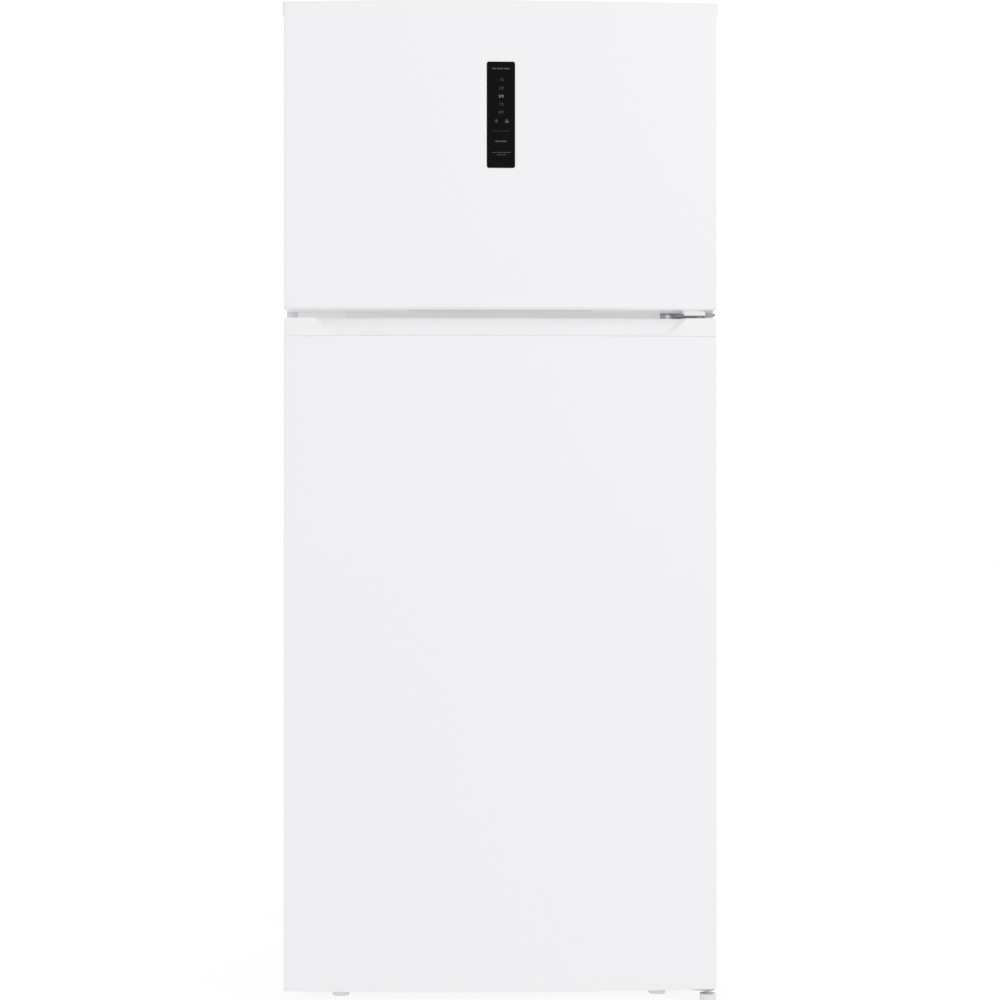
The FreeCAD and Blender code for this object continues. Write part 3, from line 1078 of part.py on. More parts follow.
def fan_motor(hub_y):
    """Motor can with its shaft and the arm that holds it to the back wall."""
    motor_y = hub_y + FAN_HUB + MOTOR_GAP
    arm_half = MOTOR_R / 3
    return fuse(cylinder(MOTOR_R, 0, motor_y, FAN_Z, MOTOR, ALONG_Y),
                cylinder(SHAFT_R, 0, hub_y + TRAY_GAP, FAN_Z, motor_y - hub_y, ALONG_Y),
                box(-arm_half, arm_half, motor_y + MOTOR / 2, FREEZER_BACK, FAN_Z - arm_half, FAN_Z + arm_half))


def evaporator_coil(z0):
    """Serpentine tube through upright fins, as many rows as fit under the fan."""
    y = (EVAP_Y + EVAP_COVER + FREEZER_BACK) / 2 + COIL_OFFSET
    half = FREEZER_HALF - COIL_INSET
    rows = 1 + int((FAN_Z - FAN_R - COIL_HEADROOM - z0 - COIL_FOOT) // COIL_PITCH)
    low, high = z0 + COIL_FOOT, z0 + COIL_FOOT + COIL_PITCH * (rows - 1)
    step = 2 * (half - FIN_INSET) / (FIN_COUNT - 1)
    fins = []
    for k in range(FIN_COUNT):
        x = -half + FIN_INSET + k * step
        fins.append(box(x - FIN_THICK / 2, x + FIN_THICK / 2, y - FIN_HALF, y + FIN_HALF,
                        low - FIN_END, high + FIN_END))
    return fuse(serpentine(-half, half, y, low, COIL_PITCH, rows, TUBE_R), *fins)


def freezer_inside():
    z0, z1 = MULLION_TOP + EVAP_EDGE, FREEZER_CEILING - EVAP_EDGE
    hub_y = EVAP_Y + FAN_SETBACK
    parts = {
        "evaporator_cover": evaporator_cover(z0, z1),
        "evaporator_fan": evaporator_fan(hub_y),
        "fan_motor": fan_motor(hub_y),
        "evaporator_coil": evaporator_coil(z0),
        "freezer_shelf": glass_shelf(FREEZER_HALF - SHELF_SIDE_GAP, SHELF_FRONT, EVAP_Y - TRAY_GAP,
                                     FREEZER_SHELF_Z),
    }
    parts.update(ice_maker())
    return parts


def ice_tray(x, y0, y1, z):
    """Tray of two rows of cells on end lugs and pins, with a knob in front of its frame."""
    tray_y0, tray_y1 = y0 + TRAY_END, y1 - TRAY_END
    half = TRAY_WIDTH / 2
    low = z - TRAY_DEPTH
    body = tray(x - half, x + half, tray_y0, tray_y1, low, z, TRAY_WALL)
    pitch = (tray_y1 - tray_y0) / TRAY_CELLS
    walls = [box(x - half, x + half, tray_y0 + k * pitch - CELL_WALL / 2, tray_y0 + k * pitch + CELL_WALL / 2,
                 low, z - CELL_DROP) for k in range(1, TRAY_CELLS)]
    walls.append(box(x - CELL_WALL / 2, x + CELL_WALL / 2, tray_y0, tray_y1, low, z - CELL_DROP))
    lug, below, above = TRAY_LUG
    ends = [box(x - lug, x + lug, y, y + TRAY_LUG_THICK, z - below, z + above)
            for y in (tray_y0 - TRAY_LUG_THICK, tray_y1)]
    pins = [cylinder(TRAY_PIN_R, x, y0 - 2 * KNOB_GAP, z, tray_y0 - y0 + 2 * KNOB_GAP, ALONG_Y),
            cylinder(TRAY_PIN_R, x, tray_y1, z, y1 - tray_y1, ALONG_Y)]
    grip, rise, depth = KNOB_GRIP
    knob = fuse(cylinder(KNOB_R, x, y0 - KNOB_GAP - KNOB, z, KNOB, ALONG_Y),
                box(x - grip, x + grip, y0 - KNOB - depth, y0 - KNOB, z - rise, z + rise))
    return fuse(body, *walls, *ends, *pins, knob)


def ice_maker():
    """Twist tray in a frame over a pull-out ice box, standing on the freezer shelf."""
    x0 = -FREEZER_HALF + ICE_SIDE
    x1 = x0 + TRAY_WIDTH + 2 * TRAY_SIDE
    y0 = SHELF_FRONT + ICE_FRONT
    y1 = EVAP_Y - ICE_BACK
    floor = FREEZER_SHELF_Z + SHELF_GLASS + SHELF_TRIM_RISE + ICE_LIFT
    box_top = floor + ICE_BOX_HEIGHT
    axis_x = (x0 + x1) / 2
    axis_z = box_top + math.hypot(TRAY_WIDTH / 2, TRAY_DEPTH) + TRAY_GAP
    top = axis_z + TRAY_GAP + ICE_RIM
    mouth = box(x0 + ICE_WALL, x1 - ICE_WALL, y0 - OVER, y0 + ICE_WALL + OVER, floor - OVER, box_top + ICE_WALL)
    frame = cut(box(x0, x1, y0, y1, floor, top),
                box(x0 + ICE_WALL, x1 - ICE_WALL, y0 + ICE_WALL, y1 - ICE_WALL, floor - OVER, top + OVER),
                mouth, cylinder(TRAY_PIN_R + FIT, axis_x, y0 - OVER, axis_z, y1 - y0 + 2 * OVER, ALONG_Y))
    ice_box = tray(x0 + ICE_WALL + ICE_BOX_GAP, x1 - ICE_WALL - ICE_BOX_GAP, y0 + ICE_BOX_GAP,
                   y1 - ICE_BOX_BACK, floor + DRAWER_LIFT, box_top, ICE_BOX_WALL)
    return {"ice_maker_frame": frame, "ice_tray": ice_tray(axis_x, y0, y1, axis_z), "ice_box": ice_box}


# ---- machine compartment ----
def compressor(x, y, low, high):
    """Welded can with a flange at its seam, on a base plate, with its suction and discharge ports."""
    r = COMPRESSOR_R
    foot_x, foot_y = COMPRESSOR_FOOT
    plate_z = PAN_TOP + MOUNT_HEIGHT
    shell = rim_filleted(cylinder(r, x, y, low, high - low), r, COMPRESSOR_EDGE)
    seam_z = (low + high - COMPRESSOR_SEAM_HEIGHT) / 2
    ports = [cylinder(PORT_R, x - r - PORT_LENGTH, y + d, low + PORT_RISE, PORT_LENGTH + INLET_IN, ALONG_X)
             for d in (-PORT_SPREAD, PORT_SPREAD)]
    return fuse(shell, cylinder(r + COMPRESSOR_SEAM, x, y, seam_z, COMPRESSOR_SEAM_HEIGHT),
                box(x - foot_x, x + foot_x, y - foot_y, y + foot_y, plate_z, plate_z + HINGE_PLATE),
                cylinder(r - SADDLE_INSET, x, y, plate_z, low - plate_z + 2 * CAP_WALL), *ports)


def condenser(left, right, y):
    """Two banks of serpentine tube between two plain brackets."""
    rows = 1 + int((MACHINE_TOP - PAN_TOP - CONDENSER_FOOT - CONDENSER_INSET) // COIL_PITCH)
    low = PAN_TOP + CONDENSER_FOOT
    banks = [serpentine(left, right, y + d, low, COIL_PITCH, rows, CONDENSER_TUBE)
             for d in (-CONDENSER_HALF, CONDENSER_HALF)]
    brackets = [box(x - BRACKET / 2, x + BRACKET / 2, y - BRACKET_HALF, y + BRACKET_HALF, PAN_TOP,
                    low + COIL_PITCH * (rows - 1) + BRACKET_END)
                for x in (left + BRACKET_INSET, right - BRACKET_INSET)]
    return fuse(*banks, *brackets)


def machine_cover():
    """Slotted cover of the machine compartment, open round the lead's gland."""
    wide, tall = VENT_SLOT
    columns = int((2 * INNER - 2 * VENT_FOOT) // VENT_PITCH)
    rows = int((MACHINE_TOP - PAN_TOP - VENT_FOOT) // VENT_RISE)
    slots = []
    for row in range(rows):
        z = PAN_TOP + VENT_FOOT + row * VENT_RISE
        for k in range(columns):
            x = -INNER + CONDENSER_INSET + k * VENT_PITCH
            if abs(x + wide / 2 - INLET_X) > VENT_CLEAR:
                slots.append(box(x, x + wide, CAB_BACK - TOOL_REACH, CAB_BACK + TOOL_REACH, z, z + tall))
    hole = cylinder(INLET_R + SEAT, INLET_X, CAB_BACK - TOOL_REACH, INLET_Z, 2 * TOOL_REACH, ALONG_Y)
    plate = box(-INNER + COVER_SIDE_GAP, INNER - COVER_SIDE_GAP, CAB_BACK - SHEET, CAB_BACK,
                PAN_TOP + COVER_GAP, MACHINE_TOP - OVER)
    return cut(plate, hole, *slots)


def power_inlet():
    """Strain relief that the mains lead leaves through: a flanged sleeve with a plain bore."""
    start = CAB_BACK - INLET_IN
    length = BACK - INLET_SHORT - start
    sleeve = fuse(cylinder(INLET_R, INLET_X, start, INLET_Z, length, ALONG_Y),
                  cylinder(INLET_FLANGE_R, INLET_X, CAB_BACK, INLET_Z, INLET_FLANGE, ALONG_Y))
    return cut(sleeve, cylinder(INLET_BORE, INLET_X, start - OVER, INLET_Z, length + 2 * OVER, ALONG_Y))


def machine():
    x, y = INNER - COMPRESSOR_SIDE, MACHINE_Y + MACHINE_DEPTH / 2
    low, high = PAN_TOP + MOUNT_HEIGHT + DRIP_GAP, MACHINE_TOP - COMPRESSOR_HEADROOM
    mount_x, mount_y = MOUNT_PLACES
    mounts = [cylinder(MOUNT_R, x + a * mount_x, y + b * mount_y, PAN_TOP, MOUNT_HEIGHT)
              for a in (-1, 1) for b in (-1, 1)]
    return {
        "compressor": compressor(x, y, low, high),
        "compressor_mounts": Part.makeCompound(mounts),
        "condenser": condenser(-INNER + CONDENSER_INSET, x - CONDENSER_RIGHT, y),
        "drip_tray": tray(x - DRIP_HALF, x + DRIP_HALF, MACHINE_Y, y + DRIP_BACK, high + DRIP_GAP,
                          MACHINE_TOP - DRIP_TOP, DRIP_WALL),
        "machine_cover": machine_cover(),
        "power_inlet": power_inlet(),
    }


def build():
    parts = {}
    for group in (cabinet, hinges, upper_door, lower_door, fridge_inside, freezer_inside, machine, feet):
        parts.update(group())
    os.makedirs("parts", exist_ok=True)
    for name, shape in parts.items():
        shape.exportStep("parts/%s.step" % name)


build()
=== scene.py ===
import bmesh
import bpy
import json
import math
import numpy as np
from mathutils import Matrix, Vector

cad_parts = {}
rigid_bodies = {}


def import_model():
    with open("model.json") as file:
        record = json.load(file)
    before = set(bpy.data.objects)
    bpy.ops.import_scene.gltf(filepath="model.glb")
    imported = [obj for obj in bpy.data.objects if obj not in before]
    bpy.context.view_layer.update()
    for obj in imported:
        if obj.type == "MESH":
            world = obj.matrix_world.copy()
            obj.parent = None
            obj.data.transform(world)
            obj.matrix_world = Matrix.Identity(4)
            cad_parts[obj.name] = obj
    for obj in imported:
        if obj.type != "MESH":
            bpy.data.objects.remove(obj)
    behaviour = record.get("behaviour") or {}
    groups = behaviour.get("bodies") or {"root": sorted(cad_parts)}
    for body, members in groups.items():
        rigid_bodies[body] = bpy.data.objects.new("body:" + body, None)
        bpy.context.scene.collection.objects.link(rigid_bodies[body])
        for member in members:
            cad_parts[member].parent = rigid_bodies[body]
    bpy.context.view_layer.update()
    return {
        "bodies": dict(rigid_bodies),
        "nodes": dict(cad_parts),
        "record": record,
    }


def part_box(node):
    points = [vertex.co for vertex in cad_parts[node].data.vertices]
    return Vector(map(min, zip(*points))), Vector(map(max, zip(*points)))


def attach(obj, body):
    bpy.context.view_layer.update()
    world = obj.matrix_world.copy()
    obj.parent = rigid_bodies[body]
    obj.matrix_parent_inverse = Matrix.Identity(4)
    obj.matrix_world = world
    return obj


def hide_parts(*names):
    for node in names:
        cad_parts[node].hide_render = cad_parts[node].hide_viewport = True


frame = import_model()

# Two-door top freezer refrigerator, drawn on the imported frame. Lengths are in metres.
MM = 0.001
SHARP = math.radians(32)

# ---- sizes that the frame's boxes don't give, in metres ----
DOOR_BOW = 18 * MM          # a door's middle stands this far ahead of its edges
DOOR_CORNER = 3 * MM
SHEET = 0.8 * MM
SEAM_EDGE = 1.1 * MM
CAP_CORNER = 5 * MM
SCOOP_TOP, SCOOP_FOOT = 326 * MM, 298 * MM
SCOOP_DEPTH, SCOOP_FOOT_DEPTH, SCOOP_SILL, SCOOP_CHEEK = 20 * MM, 2.4 * MM, 1.6 * MM, 12 * MM
GRIP_HALF, GRIP_WIDTH, GRIP_DROP, GRIP_BACK = 285 * MM, 26 * MM, 21.5 * MM, 18 * MM
LIP_ROUND, HEEL_ROUND = 1.5 * MM, 2 * MM    # front and rear edge of the handle cap
GLASS_BELOW_BOX = 0.12 * MM
WINDOW_CORNER, WINDOW_PLAY = 4 * MM, 0.2 * MM
PATCH_HALF, PATCH_EDGE = 40 * MM, 16 * MM   # plain surround of the display's cut
SHEET_LINER, FORMED_SHEET = 2 * MM, 1.4 * MM
FRIDGE_HALF, FREEZER_HALF = 330 * MM, 318 * MM
FRIDGE_FLOOR, FREEZER_CEILING = 78 * MM, 1683 * MM
STEP = (81 * MM, 307 * MM)  # rise over the machine compartment: depth at which it starts, height
POCKET, POCKET_FRONT = (345 * MM, 1735 * MM), -339 * MM
BIN_HIGH, BOTTLE_BIN_HIGH = 85 * MM, 110 * MM
FREEZER_RIDGE, FRIDGE_RIDGE = 300 * MM, 314 * MM    # half widths of the ridges on the door linings
RIDGE_WALL, RIDGE_TALL, RIDGE_INSET = 13.5 * MM, 28 * MM, 16 * MM
FLAP_EAR, FLAP_PIN_DROP = 6 * MM, 4 * MM
PULL_DROP = 27 * MM
DUCT_SLOT, DUCT_SLOT_HIGH, DUCT_PITCH = (25 * MM, 90 * MM), 6 * MM, 12 * MM
REAR_SLOT, REAR_PITCH = (8 * MM, 36 * MM), (22 * MM, 52 * MM)
GLAND, GLAND_SEAT, GLAND_CLEAR = (-40 * MM, 58.5 * MM), 11 * MM, 30 * MM
FAN_HEIGHT, FAN_RADIUS, FAN_HUB = 1610 * MM, 50 * MM, 16 * MM

UPPER, LOWER, CABINET = "upper_door", "lower_door", "cabinet"


def low(node):
    return np.array(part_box(node)[0])


def high(node):
    return np.array(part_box(node)[1])


# ---- shader maths ----
class Value:
    """A number carried by a socket; the usual operators add Math nodes."""

    def __init__(self, paint, socket):
        self.paint, self.socket = paint, socket

    def _math(self, operation, *values):
        return self.paint.node("ShaderNodeMath", {"operation": operation}, dict(enumerate(values)))

    def __add__(self, other):
        return self._math("ADD", self, other)

    def __mul__(self, other):
        return self._math("MULTIPLY", self, other)

    def __pow__(self, other):
        return self._math("POWER", self, other)

    __radd__, __rmul__ = __add__, __mul__

    def above(self, edge):
        return self._math("GREATER_THAN", self, edge)


class Nodes:
    """A node tree that nodes are added to by type, settings and inputs."""

    def __init__(self, tree):
        self.tree = tree

    def node(self, kind, settings=None, inputs=None, output=0):
        made = self.tree.nodes.new(kind)
        for key, value in (settings or {}).items():
            setattr(made, key, value)
        for key, value in (inputs or {}).items():
            if isinstance(value, Value):
                self.tree.links.new(value.socket, made.inputs[key])
            else:
                made.inputs[key].default_value = value
        return Value(self, made.outputs[output])


class Paint(Nodes):
    """One node material, built from a shader's constants and a few linked patterns."""

    def __init__(self, name, **constants):
        self.material = bpy.data.materials.new(name)
        self.material.use_nodes = True
        super().__init__(self.material.node_tree)
        self.shader = self.tree.nodes["Principled BSDF"]
        for key, value in constants.items():
            self.shader.inputs[key.replace("_", " ")].default_value = value
        self.place = self.node("ShaderNodeTexCoord", output="Object")

    def link(self, key, value):
        self.tree.links.new(value.socket, self.shader.inputs[key])

    def stretched(self, scale):
        return self.node("ShaderNodeMapping", None, {"Vector": self.place, "Scale": scale})

    def noise(self, scale, detail=2.0, roughness=0.5, vector=None):
        return self.node("ShaderNodeTexNoise", None, {
            "Vector": vector or self.place, "Scale": scale, "Detail": detail, "Roughness": roughness})

    def cells(self, scale, output="Distance", vector=None):
        return self.node("ShaderNodeTexVoronoi", None,
                         {"Vector": vector or self.place, "Scale": scale}, output)

    def mix(self, factor, first, second):
        made = self.tree.nodes.new("ShaderNodeMix")
        made.data_type = "RGBA"
        self.tree.links.new(factor.socket, made.inputs["Factor"])
        for slot, colour in ((6, first), (7, second)):
            if isinstance(colour, Value):
                self.tree.links.new(colour.socket, made.inputs[slot])
            else:
                made.inputs[slot].default_value = (*colour, 1)
        return Value(self, made.outputs[2])

    def bump(self, height, distance, strength=1.0):
        made = self.node("ShaderNodeBump", None, {"Height": height, "Distance": distance,
                                                  "Strength": strength}, "Normal")
        self.link("Normal", made)


def tinted(colour, factor):
    return tuple(min(1.0, c * factor) for c in colour)


def painted_steel(name, colour, roughness=0.3, peel=0.00002):
    """Sprayed enamel: fine orange peel, a slow drift of tone and gloss, and a clear top layer."""
    p = Paint(name, Coat_Weight=0.35, Coat_Roughness=0.12, Specular_IOR_Level=0.4)
    drift = p.noise(2.2, 3.0)
    p.link("Base Color", p.mix(drift, tinted(colour, 0.992), tinted(colour, 1.006)))
    p.link("Roughness", p.noise(7.0, 4.0) * 0.08 + (roughness - 0.04))
    p.bump(p.noise(700.0, 1.0) + p.noise(240.0, 1.0) * 0.8, peel, 0.5)
    return p.material


def moulded(name, colour, roughness=0.4, grain=1300.0, depth=0.000015, **extra):
    """Injection-moulded plastic: spark-eroded grain, faint flow marks and handling sheen."""
    p = Paint(name, Specular_IOR_Level=0.45, **extra)
    flow = p.noise(5.0, 3.0, vector=p.stretched((0.3, 1.0, 2.5)))
    p.link("Base Color", p.mix(flow, tinted(colour, 0.985), tinted(colour, 1.008)))
    p.link("Roughness", p.noise(11.0, 4.0) * 0.12 + (roughness - 0.06))
    p.bump(p.noise(grain, 2.0) + p.cells(grain * 0.7) * 0.5, depth, 0.6)
    return p.material


def painted_glow(name, colour, strength):
    """White finish with a painted glow: its emission stands in for the light that reaches a narrow gap by
    way of its neighbours.
    """
    # painted light: the emission brightens the surface over the shade of its gap
    p = Paint(name, Specular_IOR_Level=0.35, Emission_Strength=strength)
    drift = p.noise(4.0, 3.0)
    p.link("Base Color", p.mix(drift, tinted(colour, 0.985), tinted(colour, 1.01)))
    p.link("Emission Color", p.mix(drift, (0.975, 0.98, 0.985), (1.0, 1.0, 1.0)))
    p.link("Roughness", p.noise(9.0, 4.0) * 0.1 + 0.3)
    p.bump(p.noise(900.0, 2.0), 0.000015, 0.6)
    return p.material


def clear_plastic(name, colour, roughness=0.12):
    """Clear polystyrene with a slight ripple and polished, faintly scuffed faces."""
    p = Paint(name, IOR=1.45, Alpha=0.34, Specular_IOR_Level=0.6)
    p.link("Base Color", p.mix(p.noise(6.0), tinted(colour, 0.98), colour))
    scuffs = p.noise(90.0, 5.0, vector=p.stretched((1.0, 6.0, 1.0)))
    p.link("Roughness", scuffs.above(0.62) * 0.08 + roughness)
    p.bump(p.noise(45.0, 1.0), 0.00008, 0.3)
    return p.material


def plate_glass(name):
    """Float glass, a little green, with wiped smears."""
    p = Paint(name, IOR=1.5, Alpha=0.3, Specular_IOR_Level=0.6)
    p.link("Base Color", p.mix(p.noise(3.0), (0.70, 0.84, 0.79), (0.76, 0.88, 0.84)))
    smears = p.noise(14.0, 4.0, vector=p.stretched((1.0, 3.0, 1.0)))
    p.link("Roughness", smears ** 3.0 * 0.15 + 0.01)
    return p.material


def printed_glass(name):
    """Gloss glass printed black behind, with barely seen finger smears."""
    p = Paint(name, Coat_Weight=0.06, Coat_Roughness=0.03, Specular_IOR_Level=0.03)
    p.link("Base Color", p.mix(p.noise(30.0), (0.002, 0.002, 0.0023), (0.003, 0.003, 0.0034)))
    smears = p.noise(55.0, 5.0, 0.6, p.stretched((1.0, 1.0, 0.35)))
    p.link("Roughness", smears ** 3.0 * 0.35 + 0.05)
    return p.material


def lit_print(name, colour, strength):
    """Back-lit legend of a display, a little uneven like light through printed ink."""
    p = Paint(name, Base_Color=(0.02, 0.02, 0.02, 1), Emission_Strength=strength)
    p.link("Emission Color", p.mix(p.noise(900.0), tinted(colour, 0.8), colour))
    p.link("Roughness", p.noise(60.0) * 0.1 + 0.3)
    return p.material


def plated(name, colour, roughness=0.36):
    """Zinc plating: dull crystalline lustre with drawn streaks and cool and warm patches."""
    p = Paint(name, Metallic=1.0)
    patch = p.noise(60.0, 4.0)
    warm = tuple(c * k for c, k in zip(colour, (1.04, 1.0, 0.93)))
    cool = tuple(c * k for c, k in zip(colour, (0.93, 0.98, 1.05)))
    p.link("Base Color", p.mix(patch, warm, cool))
    streak = p.noise(420.0, 3.0, vector=p.stretched((0.15, 1.0, 1.0)))
    p.link("Roughness", streak * 0.18 + (roughness - 0.09))
    p.bump(streak, 0.00001, 0.5)
    return p.material


def galvanised(name, colour):
    """Hot-dip galvanised sheet: centimetre spangles that differ in tone and gloss."""
    p = Paint(name, Metallic=0.85)
    spangle = p.cells(75.0, "Color")
    tone = p.node("ShaderNodeSeparateColor", None, {"Color": spangle})
    p.link("Base Color", p.mix(tone, tinted(colour, 0.86), tinted(colour, 1.08)))
    p.link("Roughness", tone * 0.2 + 0.34)
    p.bump(p.noise(300.0, 3.0), 0.00002, 0.4)
    return p.material


def rubbery(name, colour, roughness=0.62):
    """Extruded soft vinyl: matt, with fine drawn lines and a trace of dust."""
    p = Paint(name, Specular_IOR_Level=0.3)
    p.link("Base Color", p.mix(p.noise(40.0, 5.0), tinted(colour, 0.95), tinted(colour, 1.03)))
    p.link("Roughness", p.noise(120.0) * 0.15 + (roughness - 0.07))
    p.bump(p.noise(1500.0, 2.0), 0.00002, 0.7)
    return p.material


def foamed(name, colour):
    """Cut rigid foam: open cells and patchy colour."""
    p = Paint(name, Specular_IOR_Level=0.15)
    p.link("Base Color", p.mix(p.noise(25.0, 5.0), tinted(colour, 0.88), colour))
    p.link("Roughness", p.noise(60.0) * 0.1 + 0.85)
    p.bump(p.cells(900.0), 0.0002, 0.7)
    return p.material


def finned(name, colour):
    """Bare aluminium fins and tube: bright, with rolling lines."""
    p = Paint(name, Metallic=1.0)
    roll = p.noise(500.0, 2.0, vector=p.stretched((1.0, 1.0, 0.05)))
    p.link("Base Color", p.mix(roll, tinted(colour, 0.9), colour))
    p.link("Roughness", roll * 0.2 + 0.25)
    return p.material


WHITE = (0.838, 0.841, 0.856)
PAINT = {
    "white_steel": painted_steel("white_door_enamel", WHITE),
    # handle cap: emission paints light over the shade the upper door casts into its scoop
    "white_cap": painted_glow("white_cap_plastic_painted_glow", (0.65, 0.652, 0.664), 0.19),
    "liner_plastic": moulded("liner_sheet", (0.87, 0.88, 0.89), 0.3, 800.0),
    # hinge covers: emission paints light over the shade of the gap between the doors
    "hinge_cover_plastic": painted_glow("hinge_cover_plastic", (0.54, 0.545, 0.55), 0.37),
    # mullion front: emission paints light over the deep shade of the gap between the doors
    "mullion_steel": painted_glow("mullion_enamel_painted_glow", (0.54, 0.545, 0.55), 0.34),
    "gasket_rubber": rubbery("gasket_vinyl", (0.84, 0.845, 0.85)),
    "rigid_foam": foamed("rigid_foam", (0.86, 0.78, 0.55)),
    "clear_plastic": clear_plastic("clear_bin_plastic", (0.93, 0.965, 0.985)),
    "shelf_glass": plate_glass("shelf_plate_glass"),
    "display_black": printed_glass("display_printed_glass"),
    "dark_plastic": moulded("dark_plastic", (0.03, 0.03, 0.033), 0.5),
    "bush_plastic": moulded("bush_acetal", (0.74, 0.75, 0.76), 0.3),
    "zinc_steel": plated("zinc_plate", (0.42, 0.42, 0.45)),
    "galvanised_steel": galvanised("galvanised_sheet", (0.55, 0.57, 0.58)),
    "black_enamel": painted_steel("black_enamel", (0.018, 0.018, 0.02), 0.35),
    "mount_rubber": rubbery("mount_rubber", (0.02, 0.02, 0.02)),
    "coil_aluminium": finned("fin_aluminium", (0.8, 0.81, 0.82)),
    "foot_plastic": moulded("foot_plastic", (0.78, 0.79, 0.80), 0.42),
    "roller_plastic": moulded("roller_plastic", (0.42, 0.43, 0.44), 0.45),
}
# upper door's bottom cap: emission paints light over the shade on its underside in the gap
GAP_CAP_GLOW = painted_glow("gap_cap_plastic_painted_glow", (0.52, 0.523, 0.53), 0.27)
ROOF_COVER = moulded("roof_cover_plastic", (0.80, 0.805, 0.81), 0.4)
# hinge screws: emission paints light over the shade of the gap they sit in
SCREW_GLOW = painted_glow("screw_nickel_painted_glow", (0.55, 0.55, 0.58), 0.28)
TRIM = moulded("shelf_trim_plastic", (0.86, 0.87, 0.88), 0.32)
LIT = lit_print("legend_lit", (0.75, 0.8, 0.85), 0.62)
DIM = lit_print("legend_dim", (0.5, 0.53, 0.58), 0.10)
OWN_PAINT = {"upper_door_bottom_cap": GAP_CAP_GLOW, "top_hinge_covers": ROOF_COVER, "hinge_screws": SCREW_GLOW}
slot_of = {row["node"]: row["material_slot"] for row in frame["record"]["subparts"]}


# ---- meshes from arrays ----
def piece(name, points, faces, body, stands_for=(), paint=None, slot=None):
    """Object at the origin from points and faces; doubles are merged and faces turned outward."""
    mesh = bpy.data.meshes.new(name)
    mesh.from_pydata(np.asarray(points).tolist(), [], [list(map(int, f)) for f in faces])
    bm = bmesh.new()
    bm.from_mesh(mesh)
    bmesh.ops.remove_doubles(bm, verts=bm.verts, dist=1e-6)
    bmesh.ops.dissolve_degenerate(bm, edges=bm.edges, dist=1e-7)
    bmesh.ops.recalc_face_normals(bm, faces=bm.faces)
    bm.to_mesh(mesh)
    bm.free()
    return finished(name, mesh, body, stands_for, paint, slot)


def smoothed(mesh):
    """Smooth shading that stops at edges sharper than SHARP."""
    mesh.polygons.foreach_set("use_smooth", np.ones(len(mesh.polygons), bool))
    mesh.set_sharp_from_angle(angle=SHARP)
    return mesh


def finished(name, mesh, body, stands_for=(), paint=None, slot=None):
    """Object with its shading, its material and the body that it rides on."""
    smoothed(mesh)
    slot = slot or slot_of[stands_for[0]]
    mesh.materials.clear()
    mesh.materials.append(paint or PAINT[slot])
    made = bpy.data.objects.new(name, mesh)
    bpy.context.scene.collection.objects.link(made)
    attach(made, body)
    if stands_for:
        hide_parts(*stands_for)
    return made


def with_modifiers(made, *modifiers):
    """Runs modifiers on a piece and keeps their result as its mesh."""
    for kind, settings in modifiers:
        modifier = made.modifiers.new(kind.lower(), kind)
        for key, value in settings.items():
            setattr(modifier, key, value)
    graph = bpy.context.evaluated_depsgraph_get()
    result = bpy.data.meshes.new_from_object(made.evaluated_get(graph), depsgraph=graph)
    made.modifiers.clear()
    made.data = smoothed(result)
    return made


def faced(made, face, facing):
    """Turns an open sheet over unless its given face looks forwards (-1) or backwards (1)."""
    if made.data.polygons[face].normal.y * facing < 0:
        made.data.flip_normals()


def mirrored(inner, outer):
    """Lowest and highest X of a span on the left and of its mirror image on the right."""
    return [(-outer, -inner), (inner, outer)]


def grid_faces(rows, columns, close_rows=False, close_columns=False):
    """Quads between neighbours of a rows by columns grid of points."""
    r = np.arange(rows if close_rows else rows - 1)
    c = np.arange(columns if close_columns else columns - 1)
    r, c = (a.ravel() for a in np.meshgrid(r, c, indexing="ij"))
    r1, c1 = (r + 1) % rows, (c + 1) % columns
    return np.stack([r * columns + c, r * columns + c1, r1 * columns + c1, r1 * columns + c], 1).tolist()


def lofted(rings, ends=True, torus=False):
    """Points and faces of a skin over closed rings; flat ends close it, or it closes on itself."""
    rings = np.asarray(rings)
    count, around = rings.shape[:2]
    faces = grid_faces(count, around, close_rows=torus, close_columns=True)
    if ends and not torus:
        faces += [list(range(around)), list(range((count - 1) * around, count * around))]
    return rings.reshape(-1, 3), faces


def joined(*parts):
    """Several closed skins as the points and faces of one piece."""
    starts = np.cumsum([0] + [len(points) for points, _ in parts])
    faces = [[int(i) + int(start) for i in face] for start, (_, part) in zip(starts, parts) for face in part]
    return np.concatenate([np.asarray(points) for points, _ in parts]), faces


def rounded_loop(half_a, half_b, radius, steps=6):
    """Rounded rectangle: four quarter circles about the corners' centres, joined by straights."""
    turn = np.linspace(0, math.pi / 2, steps + 1)
    loop = []
    for quarter, (sa, sb) in enumerate(((1, 1), (-1, 1), (-1, -1), (1, -1))):
        angle = turn + quarter * math.pi / 2
        loop.append(np.stack([sa * (half_a - radius) + radius * np.cos(angle),
                              sb * (half_b - radius) + radius * np.sin(angle)], 1))
    return np.concatenate(loop)


def placed(loop, height, centre, axis):
    """Flat loop put at a height along X, Y or Z from a centre."""
    flat = {"X": (1, 2, 0), "Y": (0, 2, 1), "Z": (0, 1, 2)}[axis]
    points = np.zeros((len(loop), 3))
    points[:, flat[0]], points[:, flat[1]] = loop[:, 0], loop[:, 1]
    points[:, flat[2]] = height
    return points + np.asarray(centre)


def turned_block(centre, half_a, half_b, radius, profile, axis="Z", steps=6):
    """Rings of a rounded rectangle that shrinks by each profile inset at each profile height."""
    rings = [placed(rounded_loop(half_a - inset, half_b - inset, max(radius - inset, 0.0003), steps),
                    height, centre, axis) for inset, height in profile]
    return lofted(rings)


def arc(inset, height, radius, start, stop, steps=4):
    """Points of a profile's round edge about (inset, height), angles in degrees."""
    angle = np.radians(np.linspace(start, stop, steps + 1))
    return list(zip(inset + radius * np.cos(angle), height + radius * np.sin(angle)))


